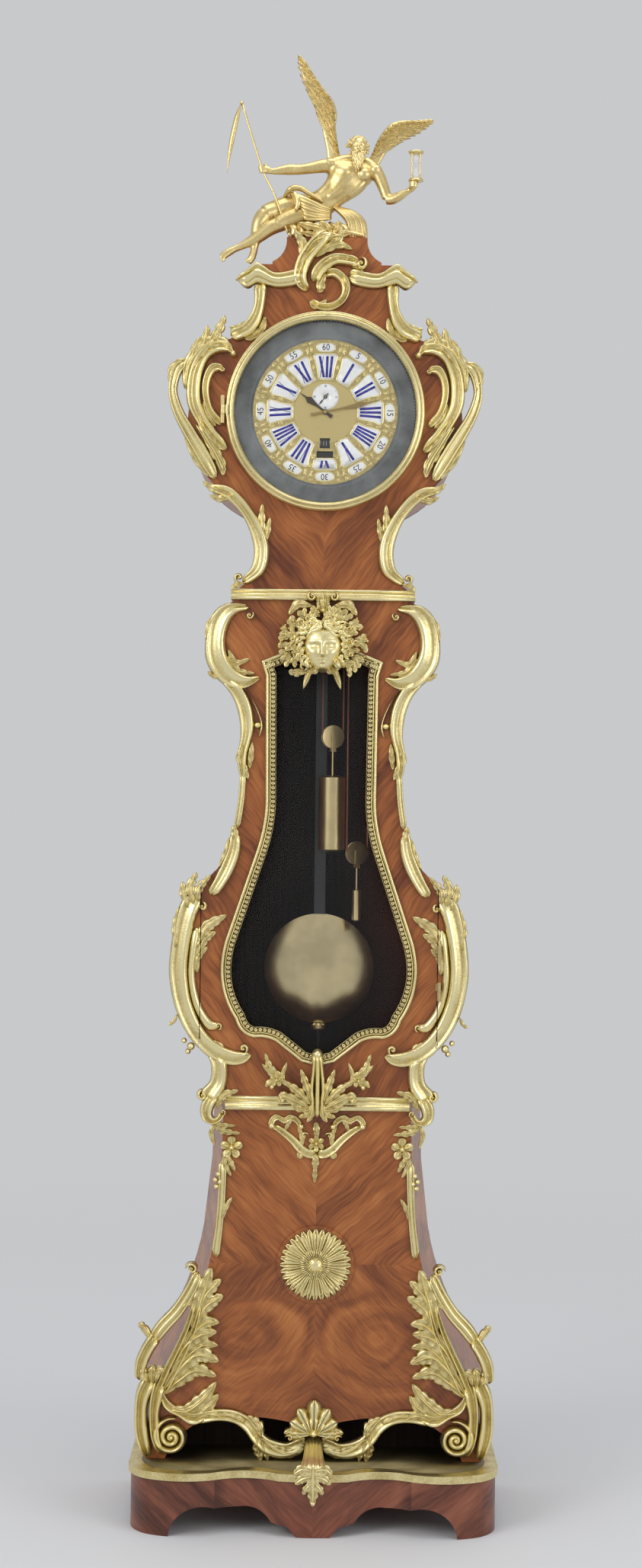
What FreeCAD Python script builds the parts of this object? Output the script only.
"""Longcase regulator clock as a parametric FreeCAD document.

Millimetres, Z up. The origin lies on the floor under the middle of the plinth,
the front looks along -Y and X grows to the viewer's right. The case is made of
four storeys (plinth, pedestal, trunk and hood). Every outline and every mount
is written in shares of the half width and the height of the storey it sits on.
"""
import FreeCAD, Part
import math
import os

import Sketcher

Vector = FreeCAD.Vector
document = FreeCAD.newDocument("LongcaseClock")

# Driving dimensions: alias, value in millimetres, meaning
DIMENSIONS = [
    ("plinth_half_width", 319, "half width of the plinth wood"),
    ("plinth_depth", 360, "front bulge of the plinth to its back"),
    ("plinth_height", 97, "height of the plinth wood"),
    ("plinth_wall", 14, "thinnest wall of the plinth"),
    ("plinth_recess", 25, "depth of the serpentine hollows in the plinth front"),
    ("plinth_arch_height", 47, "height of the arches between the plinth feet"),
    ("rim_height", 13, "height of the bronze rim on the plinth"),
    ("rim_overhang", 4, "how far the rim stands out over the plinth"),
    ("rim_width", 18, "width of the rim seen from above"),
    ("case_front", 86, "front plane of the case before the centre"),
    ("base_block_gap", 2, "gap between the dark block behind the feet and the pedestal sides"),
    ("base_block_height", 85, "height of the dark block behind the feet"),
    ("base_block_front", 9, "how far behind the centre the dark block starts"),
    ("pedestal_inset", 29, "plinth wood beyond the spread feet of the pedestal, each side"),
    ("pedestal_lap", 3, "pedestal top beyond the cross moulding, each side"),
    ("pedestal_height", 617, "pedestal from the plinth to the lower moulding"),
    ("pedestal_flare", 26, "how much wider the pedestal is at the back, each side"),
    ("lower_moulding_height", 23, "moulding between pedestal and trunk"),
    ("moulding_half_width", 162, "half width of the cross mouldings"),
    ("moulding_reach", 12, "how far a cross moulding stands before the case"),
    ("trunk_half_width", 253, "half width of the trunk at its bulge"),
    ("trunk_height", 873, "height of the trunk"),
    ("neck_moulding_height", 19, "moulding between trunk and hood"),
    ("hood_half_width", 240, "half width of the hood head"),
    ("head_rise", 259, "top of the hood above the dial centre"),
    ("cap_height", 48, "height of the stepped cap on the hood"),
    ("cap_half_width", 96, "half width of the cap at its base"),
    ("cap_depth", 190, "depth of the cap"),
    ("board", 14, "thickness of the case boards"),
    ("backboard_thickness", 12, "thickness of the backboard"),
    ("slot_half_width", 104, "half width of the shaft for cords and pendulum"),
    ("slot_front", 40, "front edge of that shaft before the centre"),
    ("slot_back", 76, "back edge of that shaft behind the centre"),
    ("fit_gap", 0.3, "gap between pieces of different bodies"),
    ("cut_over", 30, "overrun of every cut"),
    ("door_half_width", 208, "half width at which the door front is cut off"),
    ("door_gap", 1.5, "gap beside the door edges"),
    ("glass_frame_width", 19, "width of the gilt frame round the door glass"),
    ("glass_frame_height", 11, "how far that frame stands out"),
    ("glass_thickness", 3, "thickness of the door glass"),
    ("glass_seat", 9, "how far the door opening is wider than the frame opening"),
    ("hinge_x", 211, "door hinge axis to the right of the centre"),
    ("hinge_reach", 15, "door hinge axis before the case front"),
    ("knuckle_radius", 3.6, "radius of the hinge knuckles"),
    ("knuckle_length", 16, "length of one hinge knuckle"),
    ("pin_radius", 1.8, "radius of the hinge pins"),
    ("running_gap", 0.05, "radial clearance of pivots and pins"),
    ("mount_rise", 20, "how far the bold bronze mounts stand out"),
    ("thin_rise", 12, "how far the flat bronze mounts stand out"),
    ("leaf_width", 18, "width of a plain bronze leaf"),
    ("scroll_boss", 11, "radius of a scroll's volute"),
    ("foot_boss", 32, "radius of the big volutes of the feet"),
    ("flower_radius", 19, "radius of the five petal flowers"),
    ("rosette_radius", 63, "radius of the rosette"),
    ("rosette_rise", 12, "how far the rosette stands out"),
    ("rosette_ring", 68, "radius of the wooden ring behind the rosette"),
    ("ring_rise", 4, "how far that ring stands out"),
    ("shell_rise", 16, "how far shells and palmettes stand out"),
    ("dial_height", 313, "dial centre above the hood base"),
    ("dial_opening", 168, "radius of the dial opening in the hood front"),
    ("dial_recess", 2, "dial face behind the case front"),
    ("dial_thickness", 3.5, "thickness of the dial sheets"),
    ("dial_step", 0.7, "gap between the turning sheets of the dial"),
    ("ring_outer", 165, "outer radius of the calendar ring"),
    ("ring_inner", 128, "inner radius of the calendar ring"),
    ("date_outer", 86, "outer radius of the date disc behind the dial"),
    ("date_inner", 44, "inner radius of the date disc"),
    ("date_thickness", 1, "thickness of the date disc"),
    ("date_window", 18, "side of the square date window"),
    ("date_window_drop", 55, "square window below the dial centre"),
    ("month_window_width", 29, "width of the lower window"),
    ("month_window_height", 12, "height of the lower window"),
    ("month_window_drop", 75, "lower window below the dial centre"),
    ("plaque_inner", 57, "inner radius of the hour plaques"),
    ("plaque_outer", 98, "outer radius of the hour plaques"),
    ("plaque_half_width", 13.5, "half width of an hour plaque at its wide end"),
    ("minute_plaque_radius", 112, "radius on which the minute plaques sit"),
    ("minute_plaque_width", 27, "width of a minute plaque"),
    ("minute_plaque_height", 16, "height of a minute plaque"),
    ("plaque_rise", 0.9, "thickness of the enamel plaques"),
    ("seconds_rise", 26.7, "seconds axis above the dial centre"),
    ("seconds_radius", 23, "radius of the seconds ring"),
    ("bezel_radius", 175, "outer radius of the bezel"),
    ("bezel_inner", 160, "sight radius of the bezel"),
    ("bezel_rise", 17, "how far the bezel stands out"),
    ("bezel_glass_seat", 6, "how far the dial glass reaches under the bezel"),
    ("bezel_glass_thickness", 2.5, "thickness of the dial glass"),
    ("bezel_hinge_gap", 5, "bezel hinge axis outside the bezel"),
    ("hand_thickness", 0.8, "thickness of the hands"),
    ("hand_step", 1.0, "gap between the planes of the hands"),
    ("minute_hand_length", 104, "length of the minute hand"),
    ("hour_hand_length", 58, "length of the hour hand"),
    ("seconds_hand_length", 21, "length of the seconds hand"),
    ("hand_width", 9, "widest part of the hour hand"),
    ("plate_half_width", 104, "half width of the movement plates"),
    ("plate_rise", 190, "height of the movement plates"),
    ("plate_thickness", 3, "thickness of the movement plates"),
    ("front_plate_face", 48, "face of the front plate before the centre"),
    ("back_plate_face", 28, "back of the back plate behind the centre"),
    ("pillar_radius", 5, "radius of the movement pillars"),
    ("pillar_inset", 9, "pillars inside the plate edges"),
    ("seat_drop", 105, "top of the seat board below the dial centre"),
    ("seat_thickness", 15, "thickness of the seat board"),
    ("seat_half_width", 125, "half width of the seat board"),
    ("arbor_radius", 2.1, "radius of the arbors"),
    ("pivot_radius", 1.5, "radius of the pivots"),
    ("hour_pipe_radius", 4.6, "outer radius of the hour pipe"),
    ("wheel_thickness", 3, "thickness of the wheels"),
    ("pinion_length", 9, "length of the pinions"),
    ("great_wheel_radius", 48, "pitch radius of the great wheel"),
    ("centre_wheel_radius", 24, "pitch radius of the centre wheel"),
    ("third_wheel_radius", 22.55, "pitch radius of the third wheel"),
    ("escape_wheel_radius", 22, "tip radius of the escape wheel"),
    ("great_drop", 48, "great wheel arbor below the dial centre"),
    ("great_side", 24.75, "great wheel arbor right of the dial centre"),
    ("third_side", 22.6, "third arbor left of the dial centre"),
    ("third_rise", 14.77, "third arbor above the dial centre"),
    ("winding_side", 37, "winding sheave right of the great wheel arbor"),
    ("winding_drop", 27, "winding sheave below the great wheel arbor"),
    ("sheave_radius", 22.75, "radius of the cord's middle on the sheaves"),
    ("sheave_thickness", 10, "thickness of the sheaves"),
    ("sheave_lip", 3.4, "height of the sheave flanges over the cord's seat"),
    ("great_sheave_front", 12, "middle plane of the great sheave before the centre"),
    ("winding_sheave_back", 2, "middle plane of the winding sheave behind the centre"),
    ("cord_radius", 1.5, "radius of the gut cord"),
    ("cord_seat_gap", 0.12, "gap between cord and sheave"),
    ("drive_pulley_drop", 570.4, "drive pulley below the dial centre"),
    ("counter_pulley_drop", 778, "counter pulley below the dial centre"),
    ("pulley_thickness", 6, "thickness of the pulleys"),
    ("pulley_lip", 2.6, "height of the pulley flanges over the cord's seat"),
    ("stirrup_gap", 0.5, "gap between a pulley and its stirrup"),
    ("stirrup_thickness", 1.8, "thickness of the stirrup cheeks"),
    ("stirrup_width", 9, "width of the stirrup cheeks"),
    ("drive_weight_radius", 24.3, "radius of the drive weight"),
    ("drive_weight_height", 137, "height of the drive weight"),
    ("drive_weight_drop", 68.6, "drive weight's top below its pulley"),
    ("counter_weight_radius", 8, "radius of the counterweight"),
    ("counter_weight_height", 56, "height of the counterweight"),
    ("counter_weight_drop", 65, "counterweight's top below its pulley"),
    ("pallet_rise", 58, "pallet arbor above the dial centre"),
    ("pallet_reach", 13, "half width of the anchor"),
    ("crutch_length", 125, "pallet arbor to the foot of the crutch"),
    ("crutch_gap", 0.3, "gap between crutch and pendulum rod"),
    ("pendulum_back", 45, "pendulum rod behind the centre"),
    ("rod_half_width", 10, "half width of the pendulum rod"),
    ("rod_thickness", 6, "thickness of the pendulum rod"),
    ("bob_drop", 1046.4, "bob centre below the suspension"),
    ("bob_radius", 99, "radius of the pendulum bob"),
    ("bob_thickness", 36, "thickness of the pendulum bob"),
    ("bob_edge", 6, "thickness of the bob at its edge"),
    ("rating_nut_radius", 13, "radius of the rating nut"),
    ("rating_nut_height", 12, "height of the rating nut"),
    ("rating_screw_radius", 3.0, "radius of the screw below the bob"),
    ("needle_length", 30, "pointer below the rating nut"),
    ("spring_length", 22, "length of the suspension spring"),
    ("spring_thickness", 0.3, "thickness of the suspension spring"),
    ("spring_width", 14, "width of the suspension spring"),
    ("cock_half_width", 16, "half width of the pendulum cock"),
    ("cock_height", 16, "height of the pendulum cock"),
    ("figure_half_span", 200, "half of the figure group's width"),
    ("figure_height", 340, "cap to the tip of the tall wing"),
    ("figure_front", 46, "middle plane of the figure before the centre"),
    ("limb_radius", 15, "radius of the figure's thigh"),
    ("wing_thickness", 14, "thickness of a wing at its root"),
    ("scythe_radius", 3.2, "radius of the scythe's pole"),
    ("hourglass_radius", 14, "radius of the hourglass"),
    ("hourglass_height", 53, "height of the hourglass"),
    ("mask_radius", 35, "half width of the mask's face"),
    ("mask_half_width", 86, "half width of the mask's hair"),
    ("mask_drop", 83, "middle of the mask below the top of the trunk"),
]


class Length:
    """A length with the sheet expression that it comes from."""

    def __init__(self, value, text):
        self.value = float(value)
        self.text = text

    def __float__(self):
        return self.value

    def _with(self, other, sign, swap=False):
        left, right = (other, self) if swap else (self, other)
        value = {"+": lambda a, b: a + b, "-": lambda a, b: a - b,
                 "*": lambda a, b: a * b, "/": lambda a, b: a / b}[sign](float(left), float(right))
        return Length(value, "(%s %s %s)" % (text_of(left), sign, text_of(right)))

    def __add__(self, other):
        return self._with(other, "+")

    def __radd__(self, other):
        return self._with(other, "+", True)

    def __sub__(self, other):
        return self._with(other, "-")

    def __rsub__(self, other):
        return self._with(other, "-", True)

    def __mul__(self, other):
        return self._with(other, "*")

    def __rmul__(self, other):
        return self._with(other, "*", True)

    def __truediv__(self, other):
        return self._with(other, "/")

    def __neg__(self):
        return Length(-self.value, "(-%s)" % self.text)


def text_of(length):
    """Expression text of a length or a plain number."""
    return length.text if isinstance(length, Length) else "%.6g" % length


class Sizes:
    """The spreadsheet, read as attributes that carry value and expression."""

    def __init__(self, rows):
        self.sheet = document.addObject("Spreadsheet::Sheet", "Sizes")
        for row, (alias, value, meaning) in enumerate(rows, start=1):
            self.sheet.set("A%d" % row, meaning)
            self.sheet.set("B%d" % row, str(value))
            self.sheet.setAlias("B%d" % row, alias)
            setattr(self, alias, Length(value, "Sizes." + alias))
        document.recompute()


S = Sizes(DIMENSIONS)
nodes = {}

# Levels and planes that follow from the driving dimensions
FRONT = -S.case_front
BACK = S.plinth_depth / 2
BOARD_BACK = BACK - S.backboard_thickness
DOOR_BACK = FRONT + S.board
PLINTH_TOP = S.plinth_height + S.rim_height
PEDESTAL_TOP = PLINTH_TOP + S.pedestal_height
TRUNK_BASE = PEDESTAL_TOP + S.lower_moulding_height
TRUNK_TOP = TRUNK_BASE + S.trunk_height
HOOD_BASE = TRUNK_TOP + S.neck_moulding_height
DIAL_Z = HOOD_BASE + S.dial_height
HOOD_TOP = DIAL_Z + S.head_rise
CAP_TOP = HOOD_TOP + S.cap_height


class Storey:
    """A storey of the case that turns shares into places."""

    def __init__(self, half_width, base, height, foot_half_width=None):
        self.half_width = half_width
        self.foot_half_width = foot_half_width or half_width
        self.base = base
        self.height = height

    def place(self, x_share, z_share):
        """Place on the front at shares of half width and height."""
        spread = (self.foot_half_width - self.half_width) * (1 - z_share)
        return x_share * (self.half_width + spread), self.base + z_share * self.height


PLINTH = Storey(S.plinth_half_width, Length(0, "0"), PLINTH_TOP)
PEDESTAL_TOP_SHARE = 0.569
PEDESTAL = Storey((S.moulding_half_width + S.pedestal_lap) / PEDESTAL_TOP_SHARE, PLINTH_TOP,
                  S.pedestal_height,
                  S.plinth_half_width - S.pedestal_inset)
TRUNK = Storey(S.trunk_half_width, TRUNK_BASE, S.trunk_height)
HOOD = Storey(S.hood_half_width, HOOD_BASE, S.dial_height + S.head_rise)
CREST = Storey(S.hood_half_width, DIAL_Z, S.head_rise)
FIGURE = Storey(S.figure_half_span, CAP_TOP, S.figure_height)

# Half outlines, from below or above, as shares of half width and height
TRUNK_SIDE_SHARES = [
    (0.625, 0), (0.656, 0.061), (1, 0.25, "via"), (0.711, 0.458), (0.557, 0.584, "via"),
    (0.538, 0.733), (0.577, 0.796, "via"), (0.672, 0.836), (0.806, 0.916, "via"),
    (0.696, 0.987), (0.593, 1)]
GLASS_SIDE_SHARES = [
    (0.115, 0.069), (0.296, 0.11), (0.368, 0.117, "via"), (0.443, 0.117),
    (0.53, 0.129, "via"), (0.581, 0.155), (0.68, 0.229, "via"), (0.656, 0.313),
    (0.451, 0.49), (0.403, 0.544, "via"), (0.387, 0.596), (0.395, 0.847),
    (0.427, 0.877), (0.249, 0.898)]
GLASS_TOP_SHARE = 0.93
GLASS_BOTTOM_SHARE = 0.061
HOOD_SIDE_SHARES = [
    (0.625, 0), (0.458, 0.122, "via"), (0.667, 0.276), (0.938, 0.395, "via"),
    (1, 0.556), (0.933, 0.696, "via"), (0.708, 0.769), (0.508, 0.822, "via"),
    (0.467, 0.914), (0.492, 0.941), (0.492, 1)]
PEDESTAL_SIDE_SHARES = [
    (1.021, 0), (1, 0.136), (0.89, 0.279, "via"), (0.776, 0.378), (0.697, 0.47, "via"),
    (0.628, 0.601), (0.579, 0.806), (PEDESTAL_TOP_SHARE, 1)]
PEDESTAL_ARCH_SHARES = [(0.903, 0), (0.724, 0.097, "via"), (0.517, 0.123), (0.259, 0.117, "via"),
                        (0, 0.089)]
PLINTH_PLAN_SHARES = [(0.188, 0.2), (0.36, 1, "via"), (0.533, 0.3), (0.752, -0.05, "via"), (0.909, 0.7)]
PLINTH_CORNER_SHARES = [(0.98, 1.9, "via"), (1, 3.6)]
PLINTH_ARCH_SHARES = [
    (0.784, 0), (0.73, 0.75, "via"), (0.533, 1), (0.392, 1), (0.27, 0.8, "via"),
    (0.226, 0.49), (0.141, 0.38), (0.11, 0.15, "via"), (0.085, 0)]


def mirrored(half):
    """Close a half outline, listed upwards on the right side, with its mirror image."""
    return list(half) + [(-point[0],) + tuple(point[1:]) for point in reversed(half)]


def placed(storey, shares):
    """Turn a table of shares into places on a storey."""
    return [storey.place(entry[0], entry[1]) + tuple(entry[2:]) for entry in shares]


def add_sketch(owner, name, loops):
    """Draw closed loops, each point held by two expressions, arcs by a point that they pass."""
    sketch = owner.newObject("Sketcher::SketchObject", name)
    held = []

    def hold(index, end, point):
        for kind, axis, part in (("DistanceX", -2, point[0]), ("DistanceY", -1, point[1])):
            if abs(float(part)) < 1e-9:
                sketch.addConstraint(Sketcher.Constraint("PointOnObject", index, end, axis))
            else:
                number = sketch.addConstraint(Sketcher.Constraint(kind, -1, 1, index, end, float(part)))
                held.append((number, part))

    for loop in loops:
        if loop[0] == "circle":
            _, across, up, radius = loop
            index = sketch.addGeometry(Part.Circle(point3(across, up), Vector(0, 0, 1), float(radius)))
            hold(index, 3, (across, up))
            held.append((sketch.addConstraint(Sketcher.Constraint("Radius", index, float(radius))), radius))
            continue
        corners = [at for at, point in enumerate(loop) if len(point) == 2]
        edges = []
        for order, at in enumerate(corners):
            following = corners[(order + 1) % len(corners)]
            start, end = point3(*loop[at]), point3(*loop[following])
            if (at + 1) % len(loop) == following:
                edges.append((sketch.addGeometry(Part.LineSegment(start, end)), 1, 2))
                continue
            via = loop[(at + 1) % len(loop)][:2]
            index = sketch.addGeometry(Part.Arc(start, point3(*via), end))
            forward = sketch.getPoint(index, 1).distanceToPoint(start) < 1e-6
            edges.append((index, 1, 2) if forward else (index, 2, 1))
            guide = sketch.addGeometry(Part.Point(point3(*via)), True)
            hold(guide, 1, via)
            sketch.addConstraint(Sketcher.Constraint("PointOnObject", guide, 1, index))
        for order, (index, first, last) in enumerate(edges):
            after, after_first, _ = edges[(order + 1) % len(edges)]
            sketch.addConstraint(Sketcher.Constraint("Coincident", index, last, after, after_first))
            hold(index, first, loop[corners[order]])
    for number, part in held:
        if isinstance(part, Length):
            sketch.setExpression("Constraints[%d]" % number, part.text)
    return sketch


def point3(across, up):
    """Sketch point as a vector."""
    return Vector(float(across), float(up), 0)


class Maker:
    """A sub-part made as a body from sketches on its own origin planes."""

    def __init__(self, label, at=(0, 0, 0), turn=0):
        self.body = document.addObject("PartDesign::Body", label)
        self.body.Label = label
        self.body.Placement = FreeCAD.Placement(
            Vector(*[float(part) for part in at]), FreeCAD.Rotation(Vector(0, 0, 1), turn))
        for axis, part in zip("xyz", at):
            if isinstance(part, Length):
                self.body.setExpression("Placement.Base." + axis, part.text)
        nodes[label] = self.body
        self.count = 0

    def _sketch(self, plane, loops, height):
        self.count += 1
        sketch = add_sketch(self.body, "%s_sketch_%d" % (self.body.Label, self.count), loops)
        support = [item for item in self.body.Origin.OriginFeatures if item.Role == plane + "_Plane"][0]
        sketch.AttachmentSupport = [(support, "")]
        sketch.MapMode = "FlatFace"
        if isinstance(height, Length):
            sketch.setExpression("AttachmentOffset.Base.z", height.text)
        return sketch

    def _feature(self, kind, sketch, length=None):
        feature = self.body.newObject("PartDesign::" + kind,
                                      "%s_%s_%d" % (self.body.Label, kind, self.count))
        feature.Profile = sketch
        if length is not None:
            feature.setExpression("Length", length.text)
        return feature

    def pad(self, plane, loops, start, end):
        """Fill between two heights along the plane's own axis (Y for XZ, Z for XY, X for YZ)."""
        height = -end if plane == "XZ" else start
        self._feature("Pad", self._sketch(plane, loops, height), end - start)
        return self

    def pocket(self, plane, loops, start, end):
        """Cut between two heights along the plane's own axis."""
        height = -start if plane == "XZ" else end
        self._feature("Pocket", self._sketch(plane, loops, height), end - start)
        return self

    def revolve(self, plane, loop, kind="Revolution"):
        """Turn a profile about the second axis of its plane."""
        sketch = self._sketch(plane, [loop], 0)
        feature = self._feature(kind, sketch)
        feature.ReferenceAxis = (sketch, ["V_Axis"])
        feature.Angle = 360
        return self

    def loft(self, kind, plane, loops, heights):
        """Ruled loft through one loop at each height along the plane's axis."""
        sketches = [self._sketch(plane, [loop], -height if plane == "XZ" else height)
                    for loop, height in zip(loops, heights)]
        feature = self._feature(kind, sketches[0])
        feature.Sections = sketches[1:]
        feature.Ruled = True
        return self


def rectangle(x_low, x_high, y_low, y_high):
    """Loop of a rectangle."""
    return [(x_low, y_low), (x_high, y_low), (x_high, y_high), (x_low, y_high)]


def add_shape(label, shape):
    """Sub-part whose form is set with plain shape functions."""
    feature = document.addObject("Part::Feature", label)
    feature.Label = label
    feature.Shape = shape
    nodes[label] = feature
    return feature


def spot(x, y, z):
    """Vector from lengths."""
    return Vector(float(x), float(y), float(z))


def faceted(rings):
    """Closed solid of flat faces between rings of corners, each ring lying in a plane."""
    faces = []
    for behind, ahead in zip(rings, rings[1:]):
        for at, corner in enumerate(behind):
            following = (at + 1) % len(behind)
            faces.append((corner, behind[following], ahead[at]))
            faces.append((behind[following], ahead[following], ahead[at]))
    faces += [tuple(rings[0]), tuple(rings[-1])]
    shell = Part.makeShell([Part.Face(Part.makePolygon(list(face) + [face[0]])) for face in faces])
    shell.sewShape()
    solid = Part.makeSolid(shell)
    if solid.Volume < 0:
        solid.reverse()
    return solid


def ridge(rails, rise, back=FRONT, low_end=False):
    """Cast ribbon with a flat back: pairs of edge places carry a raised crest.

    The crest sinks towards both ends, so that the ribbon dies into the ground.
    """
    sections = []
    last = len(rails) - 1
    for order, (outer, inner) in enumerate(rails):
        swell = 1 if low_end else 0.45 + 0.55 * math.sin(math.pi * order / last) ** 0.7
        first, second = spot(outer[0], back, outer[1]), spot(inner[0], back, inner[1])
        crest = first * 0.5 + second * 0.5 - Vector(0, float(rise) * swell, 0)
        shoulder = first * 0.8 + second * 0.2 - Vector(0, float(rise) * swell * 0.7, 0)
        sections.append([first, shoulder, crest, second])
    return faceted(sections)


def rails_on(storey, shares, side=1):
    """Edge places of a ribbon from a table of shares on one side of the clock."""
    rails = []
    for outer_x, outer_z, inner_x, inner_z in shares:
        outer = storey.place(side * outer_x, outer_z)
        inner = storey.place(side * inner_x, inner_z)
        rails.append((outer, inner))
    return rails


def leaf(root, tip, width, rise, back=FRONT):
    """Pointed leaf with a raised midrib, flat at the back."""
    base, end = spot(root[0], back, root[1]), spot(tip[0], back, tip[1])
    along = end - base
    across = Vector(along.z, 0, -along.x).normalize() * (float(width) / 2)
    middle = base + along * 0.35
    top = middle - Vector(0, float(rise), 0)
    left, right = middle + across, middle - across
    faces = [(base, left, top), (left, end, top), (end, right, top), (right, base, top),
             (base, right, end, left)]
    shell = Part.makeShell([Part.Face(Part.makePolygon(list(face) + [face[0]])) for face in faces])
    solid = Part.makeSolid(shell)
    if solid.Volume < 0:
        solid.reverse()
    return solid


def boss(place, radius, rise, back=FRONT):
    """Round volute knob, a low cone with a flat top."""
    return Part.makeCone(float(radius), float(radius) * 0.55, float(rise),
                         spot(place[0], back, place[1]), Vector(0, -1, 0))


def joined(shapes):
    """One solid from overlapping castings."""
    result = shapes[0].fuse(shapes[1:]) if len(shapes) > 1 else shapes[0]
    return result


def pair(build):
    """The same casting on both sides of the clock."""
    return Part.makeCompound([build(-1), build(1)])


# Plinth


def plan_outline(half_width, front, depth):
    """Serpentine plan: a bulge in the middle and at each end, hollows between."""
    half = [(share[0] * half_width, front + share[1] * S.plinth_recess) + tuple(share[2:])
            for share in PLINTH_PLAN_SHARES + PLINTH_CORNER_SHARES]
    half.append((half_width, front + depth))
    return mirrored(half) + [(0 * half_width, front, "via")]


def make_plinth():
    """Hollow serpentine plinth on feet, with its deck and the bronze rim round it."""
    front = -S.plinth_depth / 2
    deck = S.rim_width + S.fit_gap
    plinth = Maker("plinth_frame")
    plinth.pad("XY", [plan_outline(S.plinth_half_width, front, S.plinth_depth)], 0 * front, S.plinth_height)
    plinth.pad("XY", [plan_outline(S.plinth_half_width - deck, front + deck, S.plinth_depth - deck)],
               S.plinth_height, PLINTH_TOP)
    inner = S.plinth_half_width - S.plinth_wall
    plinth.pocket("XY", [rectangle(-inner, inner, front + S.plinth_recess + S.plinth_wall,
                                   BACK - S.plinth_wall)], -S.cut_over, S.plinth_height - S.plinth_wall)
    arches = [(x_share * S.plinth_half_width, z_share * S.plinth_arch_height) + tuple(rest)
              for x_share, z_share, *rest in PLINTH_ARCH_SHARES]
    left = [(-point[0],) + tuple(point[1:]) for point in arches]
    plinth.pocket("XZ", [arches, left], front - S.cut_over, front + S.plinth_recess + S.plinth_wall * 2)
    side = S.plinth_depth / 2 - S.plinth_recess * 3
    top = S.plinth_arch_height
    plinth.pocket("YZ", [[(-side, 0), (0 * side, top, "via"), (side, 0)]],
                  -S.plinth_half_width - S.cut_over, S.plinth_half_width + S.cut_over)
    rim = Maker("plinth_rim")
    rim.pad("XY", [plan_outline(S.plinth_half_width + S.rim_overhang, front - S.rim_overhang,
                                S.plinth_depth + S.rim_overhang)], S.plinth_height, PLINTH_TOP)
    seat = S.rim_width
    rim.pocket("XY", [plan_outline(S.plinth_half_width - seat, front + seat, S.plinth_depth - seat
                                   + S.cut_over)],
               S.plinth_height - S.cut_over, PLINTH_TOP + S.cut_over)


# Case of four storeys


ROSETTE_SHARE = 0.559


def pedestal_outline(extra):
    """Pedestal outline, widened by extra on each side."""
    half = []
    for x_share, z_share, *rest in PEDESTAL_SIDE_SHARES:
        x, z = PEDESTAL.place(x_share, z_share)
        half.append((x + extra, z) + tuple(rest))
    return half


def make_pedestal():
    """Flared pedestal box: front arched between the feet, wider at the back."""
    case = Maker("pedestal_case")
    case.loft("AdditiveLoft", "XZ", [mirrored(pedestal_outline(0 * S.board)),
                                     mirrored(pedestal_outline(S.pedestal_flare))], [FRONT, BOARD_BACK])
    case.loft("SubtractiveLoft", "XZ", [mirrored(pedestal_outline(-S.board)),
                                        mirrored(pedestal_outline(S.pedestal_flare - S.board))],
              [FRONT + S.board, BOARD_BACK])
    arch = placed(PEDESTAL, PEDESTAL_ARCH_SHARES)
    opening = arch[:-1] + [arch[-1]] + [(-point[0],) + tuple(point[1:]) for point in reversed(arch[:-1])]
    case.pocket("XZ", [opening], FRONT - S.cut_over, FRONT + S.board + S.cut_over)
    disc = PLINTH_TOP + ROSETTE_SHARE * S.pedestal_height
    case.pad("XZ", [("circle", 0 * disc, disc, S.rosette_ring)], FRONT - S.ring_rise, FRONT)
    lid = S.moulding_half_width + S.pedestal_lap
    case.pad("XY", [rectangle(-lid, lid, FRONT, BOARD_BACK)], PEDESTAL_TOP - S.board, PEDESTAL_TOP)
    block = Maker("base_block")
    half = PEDESTAL.foot_half_width - S.board - S.base_block_gap
    block.pad("XZ", [rectangle(-half, half, PLINTH_TOP, PLINTH_TOP + S.base_block_height)],
              S.base_block_front, BOARD_BACK)


def make_mouldings():
    """Two cross mouldings: a cyma along the front over a frame open for cords and pendulum."""
    bars = []
    for base, height in ((PEDESTAL_TOP, S.lower_moulding_height), (TRUNK_TOP, S.neck_moulding_height)):
        half = S.moulding_half_width
        name = "moulding_%d" % (len(bars) + 1)
        profile = [spot(-half, FRONT, base), spot(-half, FRONT - S.moulding_reach, base),
                   spot(-half, FRONT - S.moulding_reach, base + height * 0.3),
                   spot(-half, FRONT - S.moulding_reach * 0.35, base + height * 0.7),
                   spot(-half, FRONT - S.moulding_reach * 0.35, base + height),
                   spot(-half, BOARD_BACK, base + height), spot(-half, BOARD_BACK, base)]
        bar = Part.Face(Part.makePolygon(profile + [profile[0]])).extrude(Vector(2 * float(half), 0, 0))
        shaft = Part.makeBox(2 * float(S.slot_half_width), float(S.slot_front + S.slot_back), float(height),
                             spot(-S.slot_half_width, -S.slot_front, base))
        bars.append(bar.cut(shaft))
    add_shape("cross_mouldings", Part.makeCompound(bars))


def walled(label, storey, shares, low_inset):
    """Storey of the case: outline boards round a hollow, a board with a shaft at each end."""
    case = Maker(label)
    outline = placed(storey, shares)
    case.pad("XZ", [mirrored(outline)], FRONT, BOARD_BACK)
    inner = [(point[0] - S.board,) + tuple(point[1:]) for point in outline]
    case.pocket("XZ", [mirrored(inner)], DOOR_BACK, BOARD_BACK)
    end = outline[0][0] - low_inset
    shaft = rectangle(-S.slot_half_width, S.slot_half_width, -S.slot_front, S.slot_back)
    top = storey.base + storey.height
    case.pad("XY", [rectangle(-end, end, DOOR_BACK, BOARD_BACK), shaft], storey.base, storey.base + S.board)
    end = outline[-1][0] - S.board
    case.pad("XY", [rectangle(-end, end, DOOR_BACK, BOARD_BACK), shaft], top - S.board, top)
    return case


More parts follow.
